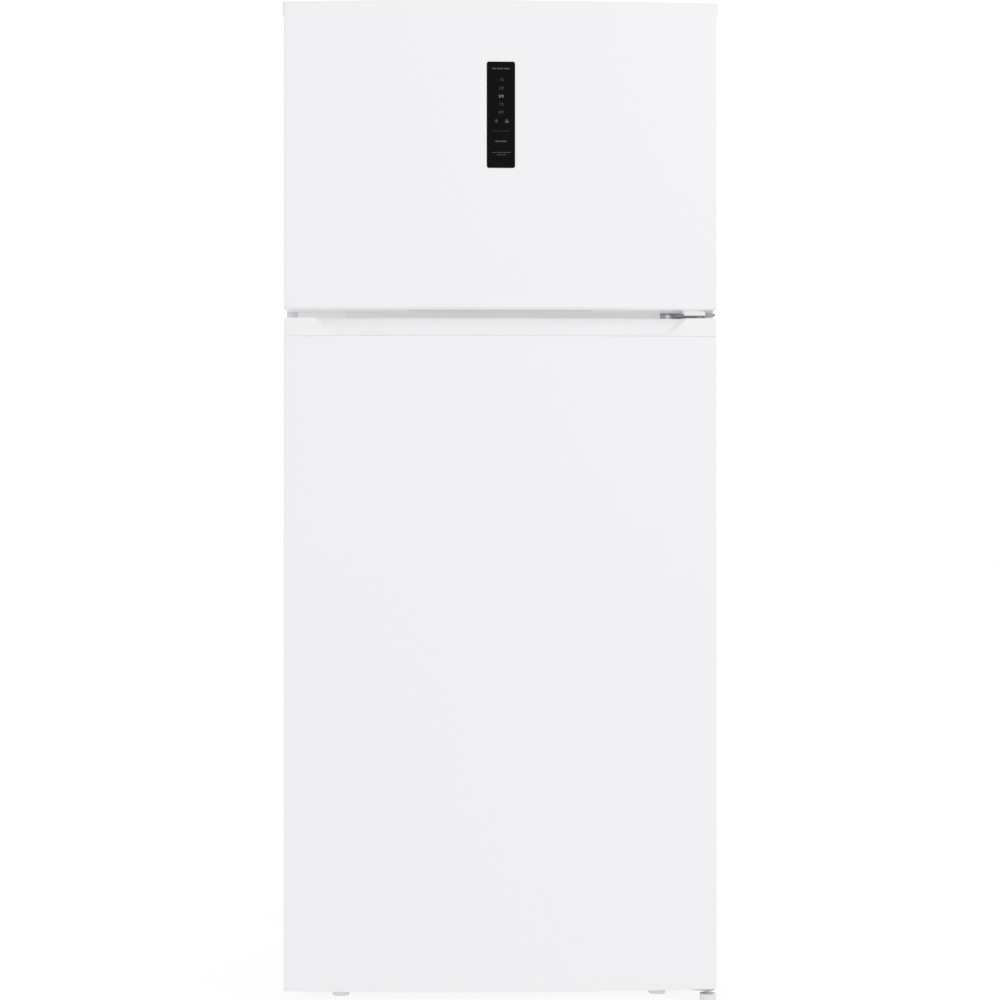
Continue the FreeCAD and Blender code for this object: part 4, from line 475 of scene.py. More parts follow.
def refined(node, width, segments=2):
    """A frame piece with its triangles joined into faces and its edges rounded off."""
    mesh = frame["nodes"][node].data.copy()
    bm = bmesh.new()
    bm.from_mesh(mesh)
    bmesh.ops.remove_doubles(bm, verts=bm.verts, dist=1e-6)
    bmesh.ops.dissolve_limit(bm, angle_limit=math.radians(0.6), verts=bm.verts, edges=bm.edges)
    bm.to_mesh(mesh)
    bm.free()
    body = next(b for b, empty in frame["bodies"].items() if frame["nodes"][node].parent == empty)
    made = finished(node + "_form", mesh, body, (node,), OWN_PAINT.get(node))
    return with_modifiers(made, ("BEVEL", {
        "width": width, "segments": segments, "limit_method": "ANGLE", "angle_limit": math.radians(35),
        "use_clamp_overlap": True, "miter_outer": "MITER_ARC", "harden_normals": False}))


# ---- doors ----
door_low, door_high = low("upper_door_skin"), high("upper_door_skin")
DOOR_HALF = door_high[0]
DOOR_BACK = door_high[1]
DOOR_FRONT = door_low[1]
BOW_R = (DOOR_HALF ** 2 + DOOR_BOW ** 2) / (2 * DOOR_BOW)


def bow_y(x, inset=0.0):
    """Circle of radius BOW_R through a door's middle and both its front edges."""
    return DOOR_FRONT + BOW_R - np.sqrt((BOW_R - inset) ** 2 - np.asarray(x) ** 2)


def door_path(windowed, columns=61):
    """Open outline from above: left side, round edge, bowed front, round edge, right side."""
    centre_x = DOOR_HALF - DOOR_CORNER
    centre_y = float(bow_y(centre_x, DOOR_CORNER))
    lean = math.atan2(centre_y - DOOR_FRONT - BOW_R, centre_x)
    turn = np.linspace(lean, 0.0, 7)
    corner = np.stack([centre_x + DOOR_CORNER * np.cos(turn), centre_y + DOOR_CORNER * np.sin(turn)], 1)
    xs = np.linspace(-corner[0, 0], corner[0, 0], columns)[1:-1]
    if windowed:
        xs = np.sort(np.concatenate([xs[np.abs(xs) > PATCH_HALF + 4 * MM], [-PATCH_HALF, PATCH_HALF]]))
    right = np.concatenate([corner, [[DOOR_HALF, POCKET_FRONT], [DOOR_HALF, DOOR_BACK - 1e-5]]])
    left = right[::-1] * [-1, 1]
    return np.concatenate([left, np.stack([xs, bow_y(xs)], 1), right])


def door_shell(name, node, body, window=None):
    """Folded steel skin: the outline carried up the door, cut for the display, then thickened."""
    z0, z1 = low(node)[2], high(node)[2]
    path = door_path(window is not None)
    zs = np.linspace(z0, z1, 9)
    if window:
        patch_z0, patch_z1 = window[2] - PATCH_EDGE, window[3] + PATCH_EDGE
        clear = (zs < patch_z0 - 14 * MM) | (zs > patch_z1 + 14 * MM)
        zs = np.sort(np.concatenate([zs[clear], [patch_z0, patch_z1, POCKET[1]]]))
    points = np.stack([np.repeat(path[:, 0], len(zs)), np.repeat(path[:, 1], len(zs)),
                       np.tile(zs, len(path))], 1)
    faces = np.array(grid_faces(len(path), len(zs)))
    if window:
        middle = points[faces].mean(1)
        inside = ((np.abs(middle[:, 0]) < PATCH_HALF) & (middle[:, 1] < DOOR_FRONT + 2 * MM)
                  & (middle[:, 2] > patch_z0) & (middle[:, 2] < patch_z1))
        pocket = ((middle[:, 0] > DOOR_HALF - 1 * MM) & (middle[:, 1] > POCKET_FRONT)
                  & (middle[:, 2] > POCKET[1]))
        extra_points, extra_faces = window_patch(window)
        faces = np.concatenate([faces[~inside & ~pocket], extra_faces + len(points)])
        used, compact = np.unique(faces, return_inverse=True)
        points, faces = np.concatenate([points, extra_points])[used], compact.reshape(-1, 4)
    made = piece(name, points, faces, body, (node,))
    faced(made, len(made.data.polygons) // 2, -1)
    return with_modifiers(made, ("SOLIDIFY", {"thickness": SHEET, "offset": -1.0, "use_even_offset": True}))


def window_patch(window):
    """Faces that fan out from the display's round-cornered cut to the four corners of its surround."""
    half, radius, z0, z1 = window
    middle = (z0 + z1) / 2
    inner = rounded_loop(half, (z1 - z0) / 2, radius, 6)
    outer = np.sign(inner) * (PATCH_HALF, (z1 - z0) / 2 + PATCH_EDGE)
    flat = np.concatenate([inner, (inner + outer) / 2, outer])
    points = np.stack([flat[:, 0], bow_y(flat[:, 0]), flat[:, 1] + middle], 1)
    return points, np.array(grid_faces(3, len(inner), close_columns=True))


def soft_floor(value, soft):
    """Smooth maximum of a value and nought: soft * log(1 + e^(value / soft))."""
    return soft * np.logaddexp(0, value / soft)


def soft_lower(a, b, soft):
    """Smooth minimum of two values by the same logarithm."""
    return -soft * np.logaddexp(-a / soft, -b / soft)


def scoop_depth(x, z, seam, top):
    """Depth behind the bowed front: a shallow foot, a slope up from it, times a cheek that runs 0 to 1."""
    sill = seam + SCOOP_SILL
    slope = (SCOOP_DEPTH - SCOOP_FOOT_DEPTH) / (top - sill)
    edge = SCOOP_FOOT + (z - sill) * (SCOOP_TOP - SCOOP_FOOT) / (top - sill)
    cheek = soft_floor(soft_lower((edge - np.abs(x)) / SCOOP_CHEEK, 1.0, 0.05), 0.03)
    back = soft_lower((z - sill) * 2.0, SCOOP_FOOT_DEPTH + (z - sill) * slope, 0.3 * MM)
    return soft_floor(back, 0.2 * MM) * cheek


def handle_cap():
    """Section of the cap carried across the door: bowed front plus the scoop's depth, quarter-round lip,
    grip groove as deep as sqrt(1 - |2t - 1|^10) of its drop for t from 0 to 1, quarter-round heel, back.
    The groove fades out at its ends by a like root, and the outer edges drop along a quarter circle."""
    node = "lower_door_top_cap"
    seam, top = high("lower_door_skin")[2], high(node)[2]
    back = DOOR_BACK
    groove_back = back - GRIP_BACK
    groove_front = groove_back - GRIP_WIDTH
    ends = DOOR_HALF - CAP_CORNER * (1 - np.sin(np.linspace(0, math.pi / 2, 9)))
    near = 6 * MM
    inner = np.concatenate([
        np.linspace(0, GRIP_HALF - near, 50), GRIP_HALF - near * (1 - np.linspace(0, 1, 16)[1:]) ** 2,
        np.linspace(GRIP_HALF, SCOOP_TOP + near, 46)[1:], np.linspace(SCOOP_TOP + near, ends[0], 8)[1:-1]])
    right = np.concatenate([inner, ends])
    xs = np.concatenate([-right[:0:-1], right])[:, None]

    foot = 4 * MM
    rise = np.concatenate([[0.0], np.linspace(SEAM_EDGE, foot, 9),
                           np.linspace(foot, top - seam - LIP_ROUND, 26)[1:]])
    front_z = seam + rise[None, :] + 0 * xs
    front_y = bow_y(xs) + scoop_depth(xs, front_z, seam, top)
    front_y[:, 0] += SEAM_EDGE
    edge_angle = np.linspace(0, math.pi / 2, 6)[None, 1:]
    lip = front_y[:, -1:]
    edge_y = lip + LIP_ROUND * (1 - np.cos(edge_angle))
    edge_z = top - LIP_ROUND * (1 - np.sin(edge_angle)) + 0 * xs
    along = 0.5 * (1 - np.cos(np.linspace(0, math.pi, 31)))[None, :]
    wall = np.sqrt(np.clip(1 - np.abs(2 * along - 1) ** 10, 0, 1))
    fade = np.sqrt(np.clip(1 - np.abs(xs / GRIP_HALF) ** 90, 0, 1))
    groove_y = groove_front + GRIP_WIDTH * along + 0 * xs
    groove_z = top - GRIP_DROP * wall * fade
    back_angle = np.linspace(0, math.pi / 2, 6)[None, :]
    back_y = back - HEEL_ROUND * (1 - np.sin(back_angle)) + 0 * xs
    back_z = top - HEEL_ROUND * (1 - np.cos(back_angle)) + 0 * xs
    foot_y = np.full_like(xs, back)
    y = np.concatenate([front_y, edge_y, groove_y, back_y, foot_y], 1)
    z = np.concatenate([front_z, edge_z, groove_z, back_z, seam + 0 * xs], 1)

    reach = np.clip((np.abs(xs) - (DOOR_HALF - CAP_CORNER)) / CAP_CORNER, 0, 1)
    small = np.clip((np.abs(xs) - (DOOR_HALF - DOOR_CORNER)) / DOOR_CORNER, 0, 1)
    z = np.minimum(z, top - CAP_CORNER * (1 - np.sqrt(1 - reach ** 2)))
    y = np.maximum(y, bow_y(xs) + DOOR_CORNER * (1 - np.sqrt(1 - small ** 2)))
    rings = np.stack([xs + 0 * y, y, z], 2)
    piece("lower_door_handle_cap", *lofted(rings), LOWER, (node,))


glass_low, glass_high = low("display_glass"), high("display_glass")
window_low, window_high = glass_low - WINDOW_PLAY, glass_high + WINDOW_PLAY
door_shell("upper_door_panel", "upper_door_skin", UPPER,
           (window_high[0], WINDOW_CORNER, window_low[2], window_high[2]))
door_shell("lower_door_panel", "lower_door_skin", LOWER)
handle_cap()


# ---- display: places on the glass are in millimetres, drops are from its top edge ----
SET_NUMBERS, NUMBER_DROPS, LIT_NUMBER = (1, 3, 5, 7, 8), (31.2, 46.1, 60.1, 74.1, 88.1), 5
HEADING = ((-15.5, 7.0), (-7.0, 11.0), (5.5, 9.5))
LABEL = ((-9.5, 8.0), (-0.2, 10.0))
NOTE = ((-15, 8), (-6, 9), (4, 13)), ((-7, 7), (1, 8))
HEADING_DROP, SIGN_DROP, LINE_DROP, LABEL_DROP, NOTE_DROPS = 12.0, 103.0, 120.5, 138.5, (157.8, 161.8)


def glass_strip():
    """Rounded plate with a polished half-millimetre edge."""
    centre = (glass_low + glass_high) / 2
    half = (glass_high - glass_low) / 2
    face = glass_low[1] + GLASS_BELOW_BOX
    edge = 0.5 * MM
    profile = [(0.0, glass_high[1])] + [(i, h) for i, h in arc(edge, face + edge, edge, 180, 270)]
    return piece("display_strip", *turned_block((centre[0], 0, centre[2]), half[0], half[2], 4 * MM,
                                                profile, "Y", 8), UPPER, ("display_glass",))


def flat_marks(name, shapes, paint):
    """Thin printed marks on the glass: each closed outline is carried through the print's thickness."""
    front, rear = glass_low[1] + 0.03 * MM, glass_low[1] + GLASS_BELOW_BOX + 0.02 * MM
    marks = []
    for outline in shapes:
        x, z = np.asarray(outline).T * MM
        marks.append(lofted([np.column_stack([x, np.full_like(x, y), z]) for y in (front, rear)]))
    return piece(name, *joined(*marks), UPPER, paint=paint, slot="display_black")


def bar(x0, x1, z0, z1):
    return [(x0, z0), (x1, z0), (x1, z1), (x0, z1)]


def dashes(spans, z, half):
    """Row of plain bars: each span is its left end and its length."""
    return [bar(x, x + long, z - half, z + half) for x, long in spans]


def stroke(x0, z0, x1, z1, wide):
    """Straight stroke between two points."""
    along = np.array([x1 - x0, z1 - z0])
    side = np.array([-along[1], along[0]]) / np.hypot(*along) * wide / 2
    a, b = np.array([x0, z0]), np.array([x1, z1])
    return [tuple(a - side), tuple(b - side), tuple(b + side), tuple(a + side)]


def bent(cx, cz, radius, start, stop, wide, steps=10):
    """Part of a ring as one outline."""
    angle = np.radians(np.linspace(start, stop, steps + 1))
    outer = np.stack([cx + (radius + wide / 2) * np.cos(angle), cz + (radius + wide / 2) * np.sin(angle)], 1)
    inner = np.stack([cx + (radius - wide / 2) * np.cos(angle), cz + (radius - wide / 2) * np.sin(angle)], 1)
    return np.concatenate([outer, inner[::-1]])


SEGMENTS = {1: "bc", 3: "abgcd", 5: "afgcd", 7: "abc", 8: "abcdefg"}    # of each number that is shown


def digit(value, x, z, wide=2.6, tall=4.2, thick=0.65):
    """Seven-segment figure with its middle at (x, z)."""
    a, b, h = wide / 2, tall / 2, thick
    places = {
        "a": (-a + h, b, a - h, b), "g": (-a + h, 0, a - h, 0), "d": (-a + h, -b, a - h, -b),
        "f": (-a, h / 2, -a, b - h / 2), "b": (a, h / 2, a, b - h / 2),
        "e": (-a, -b + h / 2, -a, -h / 2), "c": (a, -b + h / 2, a, -h / 2)}
    return [stroke(x + places[s][0], z + places[s][1], x + places[s][2], z + places[s][3], h)
            for s in SEGMENTS[value]]


def display_legend():
    """Five set temperatures, two signs and plain dashes where a maker would put words."""
    top = glass_high[2] / MM
    lit, dim = [], []
    for number, drop in zip(SET_NUMBERS, NUMBER_DROPS):
        z = top - drop
        marks = digit(number, -2.2, z)
        marks += [bent(0.9, z + 1.6, 0.55, 0, 350, 0.4), bent(3.7, z, 1.75, 50, 310, 0.6)]
        (lit if number == LIT_NUMBER else dim).extend(marks)
    dim += dashes(HEADING, top - HEADING_DROP, 1.0)
    sign = top - SIGN_DROP
    for turn in np.arange(3) * math.pi / 3 + math.pi / 6:
        dx, dz = 3.4 * math.cos(turn), 3.4 * math.sin(turn)
        dim.append(stroke(-8 - dx, sign - dz, -8 + dx, sign + dz, 0.7))
    dim += [bar(7.2, 13.4, sign - 3.2, sign + 0.6), bent(10.3, sign + 0.8, 2.0, 0, 180, 0.7)]
    dim += dashes([(-16, 32)], top - LINE_DROP, 0.15)
    dim += dashes(LABEL, top - LABEL_DROP, 1.0)
    for spans, drop in zip(NOTE, NOTE_DROPS):
        dim += dashes(spans, top - drop, 0.45)
    flat_marks("display_lit_marks", lit, LIT)
    flat_marks("display_dim_marks", dim, DIM)


glass_strip()
display_legend()


# ---- gaskets ----
def bellows_gasket(name, node, body):
    """Hollow bellows section carried round a rectangle: base bead, two folds, magnet pocket."""
    lo, hi = low(node), high(node)
    centre = ((lo[0] + hi[0]) / 2, 0, (lo[2] + hi[2]) / 2)
    half_x, half_z = (hi[0] - lo[0]) / 2, (hi[2] - lo[2]) / 2
    wide, deep = 18 * MM, hi[1] - lo[1]
    section = np.array([
        (0.10, 0.0), (0.06, 0.10), (0.20, 0.16), (0.30, 0.28), (0.16, 0.38), (0.10, 0.50), (0.02, 0.58),
        (0.0, 0.72), (0.0, 0.94), (0.05, 1.0), (0.70, 1.0), (0.76, 0.94), (0.76, 0.70), (0.70, 0.60),
        (0.86, 0.52), (0.92, 0.40), (0.80, 0.28), (0.92, 0.18), (1.0, 0.10), (0.96, 0.0)])
    rings = [placed(rounded_loop(half_x - a * wide, half_z - a * wide, 2 * MM, 3),
                    lo[1] + b * deep, centre, "Y") for a, b in section]
    return piece(name, *lofted(rings, torus=True), body, (node,))


bellows_gasket("upper_door_seal", "upper_door_gasket", UPPER)
bellows_gasket("lower_door_seal", "lower_door_gasket", LOWER)


# ---- feet ----
def ribbed_foot(name, node, ribs, disc_high, edge, stem_r):
    """Turned foot: radius by height, with the disc's rim fluted by a cosine round the axis."""
    lo, hi = low(node), high(node)
    cx, cy = (lo[0] + hi[0]) / 2, (lo[1] + hi[1]) / 2
    r = (hi[0] - lo[0]) / 2
    round_edge = np.linspace(0, math.pi / 2, 7)
    profile = [(0.35 * r, 0.6 * MM), (0.45 * r, 0.0), (r - edge, 0.0)]
    profile += [(r - edge + edge * math.sin(a), edge - edge * math.cos(a)) for a in round_edge[1:]]
    profile += [(r, disc_high - 1.0 * MM), (r - 0.8 * MM, disc_high), (stem_r + 2.2 * MM, disc_high),
                (stem_r + 0.6 * MM, disc_high + 1.2 * MM), (stem_r, disc_high + 2.2 * MM), (stem_r, hi[2])]
    angle = np.linspace(0, 2 * math.pi, ribs * 6, endpoint=False)
    rings = []
    for radius, z in profile:
        flute = 0.45 * MM * max(0.0, min(1.0, (radius - 0.8 * r) / (0.15 * r)))
        across = radius - flute * (0.5 - 0.5 * np.cos(ribs * angle)) ** 2
        rings.append(np.stack([cx + across * np.cos(angle), cy + across * np.sin(angle), 0 * angle + z], 1))
    return piece(name, *lofted(rings), node, (node,))


for side in ("left", "right"):
    ribbed_foot(side + "_levelling_foot", "foot_" + side, 18, 12 * MM, 2 * MM, 5 * MM)
ribbed_foot("hinge_levelling_foot", "foot_hinge", 26, 14 * MM, 3.5 * MM, 4 * MM)


# ---- moulded trays, bins and drawers ----
def open_tray(lo, hi, wall, corner, draft=0.0, foot=3 * MM, rim=0.0):
    """Rounded rectangles up the outside, over a half-round rim, down the inside and across the floor."""
    z0, z1 = lo[2], hi[2]
    step = [(draft, z1 - rim), (0.0, z1 - rim + draft)] if rim else []
    profile = arc(draft + foot, z0 + foot, foot, 270, 180) + step
    profile += arc(wall / 2, z1 - wall / 2, wall / 2, 180, 0, 6)
    profile += arc(draft + wall + foot, z0 + wall + foot, foot, 180, 270)
    centre = ((lo[0] + hi[0]) / 2, (lo[1] + hi[1]) / 2, 0)
    return turned_block(centre, (hi[0] - lo[0]) / 2, (hi[1] - lo[1]) / 2, corner, profile, "Z", 8)


def soft_block(lo, hi, edge, axis="Z"):
    """Block whose edges are all rounded: rings of a rounded rectangle, drawn in at both ends."""
    lo, hi = np.asarray(lo, float), np.asarray(hi, float)
    centre, half = (lo + hi) / 2, (hi - lo) / 2
    first, second, along = {"X": (1, 2, 0), "Y": (0, 2, 1), "Z": (0, 1, 2)}[axis]
    profile = arc(edge, edge - half[along], edge, 270, 180) + arc(edge, half[along] - edge, edge, 180, 90)
    return turned_block(centre, half[first], half[second], edge, profile, axis)


def swept(section, x0, x1):
    """Closed section of (y, z) points carried straight across from x0 to x1."""
    section = np.asarray(section)
    rings = [np.column_stack([np.full(len(section), x), section]) for x in (x0, x1)]
    return lofted(rings)


def door_bins(name, node, body, floors):
    """Clear bins: a thin tray with a thicker rolled band round its rim."""
    lo, hi = low(node), high(node)
    bins = [open_tray((lo[0], lo[1], z0), (hi[0], hi[1], z1), 2.5 * MM, 12 * MM, 2.5 * MM, 5 * MM, 11 * MM)
            for z0, z1 in floors]
    return piece(name, *joined(*bins), body, (node,))


def crisper(node):
    """Clear drawer with a pull whose section is a hooked lip."""
    lo, hi = low(node), high(node)
    front = lo[1] + 6 * MM
    body = open_tray((lo[0], front, lo[2]), hi, 2.5 * MM, 14 * MM, 2 * MM, 6 * MM)
    y, top, wall = lo[1], hi[2], 2 * MM
    lip = [(front + 1 * MM, top)]
    lip += [(y + wall - wall * math.sin(a), top - wall + wall * math.cos(a))
            for a in np.linspace(0, math.pi / 2, 5)]
    lip += [(y, top - PULL_DROP), (y + 1 * MM, top - PULL_DROP - 1 * MM), (y + wall, top - PULL_DROP),
            (y + wall, top - 8 * MM), (y + 4 * MM, top - 6 * MM), (front + 1 * MM, top - 6 * MM)]
    return piece(node + "_drawer", *joined(body, swept(lip, lo[0] + 1 * MM, hi[0] - 1 * MM)), node, (node,))


def glass_shelf(node):
    """Ground glass plate between a rounded front trim and a raised rear trim."""
    lo, hi = low(node), high(node)
    z = lo[2] + 4 * MM
    glass = soft_block((lo[0], lo[1] + 2 * MM, z), (hi[0], hi[1] - 2 * MM, z + 5 * MM), 1 * MM)
    front = soft_block((lo[0], lo[1], lo[2]), (hi[0], lo[1] + 12 * MM, z + 8 * MM), 2.5 * MM, "X")
    rear = soft_block((lo[0], hi[1] - 12 * MM, z), (hi[0], hi[1], hi[2]), 2 * MM, "X")
    piece(node + "_glass", *glass, CABINET, (node,))
    piece(node + "_trims", *joined(front, rear), CABINET, (node,), TRIM)


bins_low, bins_high = low("upper_door_bins")[2], high("upper_door_bins")[2]
door_bins("freezer_door_bins", "upper_door_bins", UPPER,
          [(bins_low, bins_low + BIN_HIGH), (bins_high - BIN_HIGH, bins_high)])
bins_low, bins_high = low("lower_door_bins")[2], high("lower_door_bins")[2]
middle_bin = (bins_low + bins_high - BIN_HIGH) / 2
door_bins("fridge_door_bins", "lower_door_bins", LOWER,
          [(bins_low, bins_low + BOTTLE_BIN_HIGH), (middle_bin, middle_bin + BIN_HIGH),
           (bins_high - BIN_HIGH, bins_high)])
for node in ("crisper_left", "crisper_right"):
    crisper(node)
for node in ("fridge_shelf_1", "fridge_shelf_2", "crisper_cover", "freezer_shelf"):
    glass_shelf(node)
piece("ice_store", *open_tray(low("ice_box"), high("ice_box"), 2 * MM, 8 * MM, 1 * MM, 4 * MM),
      "ice_box", ("ice_box",))
piece("defrost_tray", *open_tray(low("drip_tray"), high("drip_tray"), 1.5 * MM, 10 * MM, 1 * MM, 3 * MM),
      CABINET, ("drip_tray",))


# ---- formed liners ----
def thickened(name, points, faces, body, stands_for, facing):
    """Open formed sheet, turned to face the given way and thickened behind its face."""
    made = piece(name, points, faces, body, stands_for)
    faced(made, len(made.data.polygons) - 1, facing)
    return with_modifiers(
        made, ("SOLIDIFY", {"thickness": FORMED_SHEET, "offset": -1.0, "use_even_offset": True}))


def upright_loop(half, z0, z1, radius, y):
    return placed(rounded_loop(half, (z1 - z0) / 2, radius), y, (0, 0, (z0 + z1) / 2), "Y")


def cavity(name, node, half, z0, z1, rim, step=None):
    """Rim, rolled mouth, walls, rounded step over the machine compartment, rounded back."""
    front, back = low(node)[1], high(node)[1] - SHEET_LINER
    roll, corner = 3 * MM, 9 * MM
    rings = [upright_loop(rim[0], rim[1], rim[2], 1 * MM, front),
             upright_loop(half + roll, z0 - min(roll, z0 - rim[1]), min(z1 + roll, rim[2]), corner, front)]
    mouth = [(roll - roll * math.sin(a), roll * math.cos(a)) for a in np.linspace(0.3, math.pi / 2, 4)]
    rings += [upright_loop(half + i, z0 - min(i, z0 - rim[1]), min(z1 + i, rim[2]), corner, front + roll - d)
              for i, d in mouth]
    floor = z0
    if step:
        turn = np.linspace(0, math.pi / 2, 5)
        rings += [upright_loop(half, z0 + corner * (1 - math.cos(a)), z1, corner,
                               step[0] - corner * (1 - math.sin(a))) for a in turn]
        rings += [upright_loop(half, step[1] - corner * (1 - math.sin(a)), z1, corner,
                               step[0] + corner * (1 - math.cos(a))) for a in turn]
        floor = step[1]
    rings += [upright_loop(half - corner * (1 - math.cos(a)), floor + corner * (1 - math.cos(a)),
                           z1 - corner * (1 - math.cos(a)), corner, back - corner * (1 - math.sin(a)))
              for a in np.linspace(0, math.pi / 2, 5)]
    points, faces = lofted(rings, ends=False)
    around = len(rings[0])
    faces.append(list(range((len(rings) - 1) * around, len(rings) * around)))
    thickened(name, points, faces, CABINET, (node,), -1)


def rests(name, node, half, levels, y0, y1, body):
    """Rounded rails on both walls that carry the shelves."""
    rails = [soft_block((x0, y0, z - 8 * MM), (x1, y1, z), 2 * MM, "Y")
             for z, y1 in levels for x0, x1 in mirrored(half - 8 * MM, half)]
    piece(name, *joined(*rails), body, (node,))


def door_lining(name, node, body, half, z0, z1, notch=None):
    """Flat panel with a ridge: a trapezium of four arcs carried round a rectangle."""
    y0, r, wide, tall = DOOR_BACK, 4 * MM, 14 * MM, RIDGE_TALL
    lo, hi = low(node), high(node)
    rings = [upright_loop(hi[0], lo[2], hi[2], 0.5 * MM, y0)]
    if notch:
        x, z = notch
        corner = np.array([(hi[0], z), (hi[0] - 8 * MM, z), (x + 8 * MM, z), (x, z), (x, z + 3 * MM),
                           (x, z + 7 * MM), (x, hi[2])])
        rings[0][:7, 0], rings[0][:7, 2] = corner[:, 0], corner[:, 1]
    profile = arc(-r, y0 + r, r, 270, 360) + arc(r, y0 + tall - r, r, 180, 90)
    profile += arc(wide - r, y0 + tall - r, r, 90, 0) + arc(wide + r, y0 + r, r, 180, 270)
    rings += [upright_loop(half - w, z0 + w, z1 - w, max(14 * MM - w, 2 * MM), y) for w, y in profile]
    points, faces = lofted(rings, ends=False)
    around = len(rings[0])
    faces.append(list(range((len(rings) - 1) * around, len(rings) * around)))
    thickened(name, points, faces, body, (node,), 1)


fridge_low, fridge_high = low("fridge_liner"), high("fridge_liner")
freezer_high = high("freezer_liner")
mullion_low, mullion_high = low("mullion_bar")[2], high("mullion_bar")[2]
cavity("fridge_lining", "fridge_liner", FRIDGE_HALF, FRIDGE_FLOOR, mullion_low,
       (fridge_high[0], fridge_low[2], mullion_low), STEP)
cavity("freezer_lining", "freezer_liner", FREEZER_HALF, mullion_high, FREEZER_CEILING,
       (freezer_high[0], mullion_high, freezer_high[2]))
shelf_y = low("fridge_shelf_1")[1] + 15 * MM
rests("fridge_rests", "fridge_liner", FRIDGE_HALF,
      [(low(n)[2] + 4 * MM, y) for n, y in (("fridge_shelf_1", fridge_high[1] - 2 * MM),
                                            ("fridge_shelf_2", fridge_high[1] - 2 * MM),
                                            ("crisper_cover", STEP[0]))], shelf_y, 0, CABINET)
rests("freezer_rests", "freezer_liner", FREEZER_HALF,
      [(low("freezer_shelf")[2] + 4 * MM, low("evaporator_cover")[1])], shelf_y, 0, CABINET)
door_lining("freezer_door_lining", "upper_door_liner", UPPER, FREEZER_RIDGE, mullion_high + RIDGE_INSET,
            FREEZER_CEILING - RIDGE_INSET, (POCKET[0] - 0.5 * MM, POCKET[1] - 0.5 * MM))
door_lining("fridge_door_lining", "lower_door_liner", LOWER, FRIDGE_RIDGE, FRIDGE_FLOOR + RIDGE_INSET,
            mullion_low - RIDGE_INSET)


def bin_rests(name, node, body, edge, floors):
    """Small rounded lugs on the ridge that each bin's ends stand on."""
    lugs = [soft_block((x0, DOOR_BACK - 1 * MM, z - 10 * MM), (x1, DOOR_BACK + 27 * MM, z), 2 * MM, "X")
            for z in floors for x0, x1 in mirrored(edge - 10 * MM, edge)]
    piece(name, *joined(*lugs), body, (node,))


def flap_ears(edge):
    """Two rounded cheeks on the ridge that the dairy flap's pins turn in."""
    z = high("dairy_flap")[2] - FLAP_PIN_DROP
    y0, y1 = DOOR_BACK - 1 * MM, DOOR_BACK + 17 * MM
    ears = [soft_block((x0, y0, z - 8 * MM), (x1, y1, z + 8 * MM), 1.5 * MM, "X")
            for x0, x1 in mirrored(edge - FLAP_EAR, edge)]
    piece("dairy_flap_ears", *joined(*ears), LOWER, ("lower_door_liner",))


bin_rests("freezer_bin_rests", "upper_door_liner", UPPER, FREEZER_RIDGE - RIDGE_WALL,
          (low("upper_door_bins")[2], high("upper_door_bins")[2] - BIN_HIGH))
bin_rests("fridge_bin_rests", "lower_door_liner", LOWER, FRIDGE_RIDGE - RIDGE_WALL,
          (bins_low, middle_bin, bins_high - BIN_HIGH))
flap_ears(FRIDGE_RIDGE - RIDGE_WALL)


# ---- slotted sheets ----
def slotted_plate(lo, hi, y, slots):
    """Upright sheet as a grid of rectangles along every slot's edges, the slots' own cells left out."""
    xs = np.unique(np.round(np.concatenate([[lo[0], hi[0]], slots[:, 0], slots[:, 1]]), 6))
    zs = np.unique(np.round(np.concatenate([[lo[2], hi[2]], slots[:, 2], slots[:, 3]]), 6))
    x, z = (a.ravel() for a in np.meshgrid(xs, zs, indexing="ij"))
    faces = np.array(grid_faces(len(xs), len(zs)))
    cx, cz = x[faces].mean(1)[:, None], z[faces].mean(1)[:, None]
    cut = ((cx > slots[:, 0]) & (cx < slots[:, 1]) & (cz > slots[:, 2]) & (cz < slots[:, 3])).any(1)
    used, compact = np.unique(faces[~cut], return_inverse=True)
    points = np.column_stack([x, np.full_like(x, y), z])[used]
    return points, compact.reshape(-1, 4).tolist()


def louvred(name, node, points, faces, thick, facing, width):
    """Slotted sheet thickened behind its face, with its edges rolled over."""
    made = piece(name, points, faces, CABINET, (node,))
    faced(made, 0, facing)
    return with_modifiers(
        made, ("SOLIDIFY", {"thickness": thick, "offset": -1.0}),
        ("BEVEL", {"width": width, "segments": 2, "limit_method": "ANGLE", "angle_limit": math.radians(40)}))


def duct_cover():
    """Channel up the back wall: a slotted front and a rounded three-sided wall behind it."""
    lo, hi = low("air_duct_cover"), high("air_duct_cover")
    levels = [low("fridge_shelf_1")[2] - 56 * MM, low("fridge_shelf_2")[2] - 56 * MM, hi[2] - 106 * MM]
    slots = np.array([(x0, x1, z, z + DUCT_SLOT_HIGH) for level in levels
                      for z in level + np.arange(3) * DUCT_PITCH for x0, x1 in mirrored(*DUCT_SLOT)])
    points, faces = slotted_plate(lo + 0.6 * MM, hi - 0.6 * MM, lo[1], slots)
    louvred("air_channel_front", "air_duct_cover", points, faces, 2 * MM, -1, 0.6 * MM)
    loop = rounded_loop((hi[0] - lo[0]) / 2, (hi[2] - lo[2]) / 2, 6 * MM)
    centre = (0, 0, (lo[2] + hi[2]) / 2)
    profile = [(0.8 * MM, lo[1] + 0.3 * MM), (0.0, lo[1] + 1.2 * MM), (0.0, hi[1]), (2 * MM, hi[1]),
               (2 * MM, lo[1] + 2 * MM), (3 * MM, lo[1] + 0.8 * MM)]
    across = hi[[0, 2]] - lo[[0, 2]]
    rings = [placed(loop * (1 - 2 * inset / across), y, centre, "Y") for inset, y in profile]
    piece("air_channel_walls", *lofted(rings, torus=True), CABINET, ("air_duct_cover",))


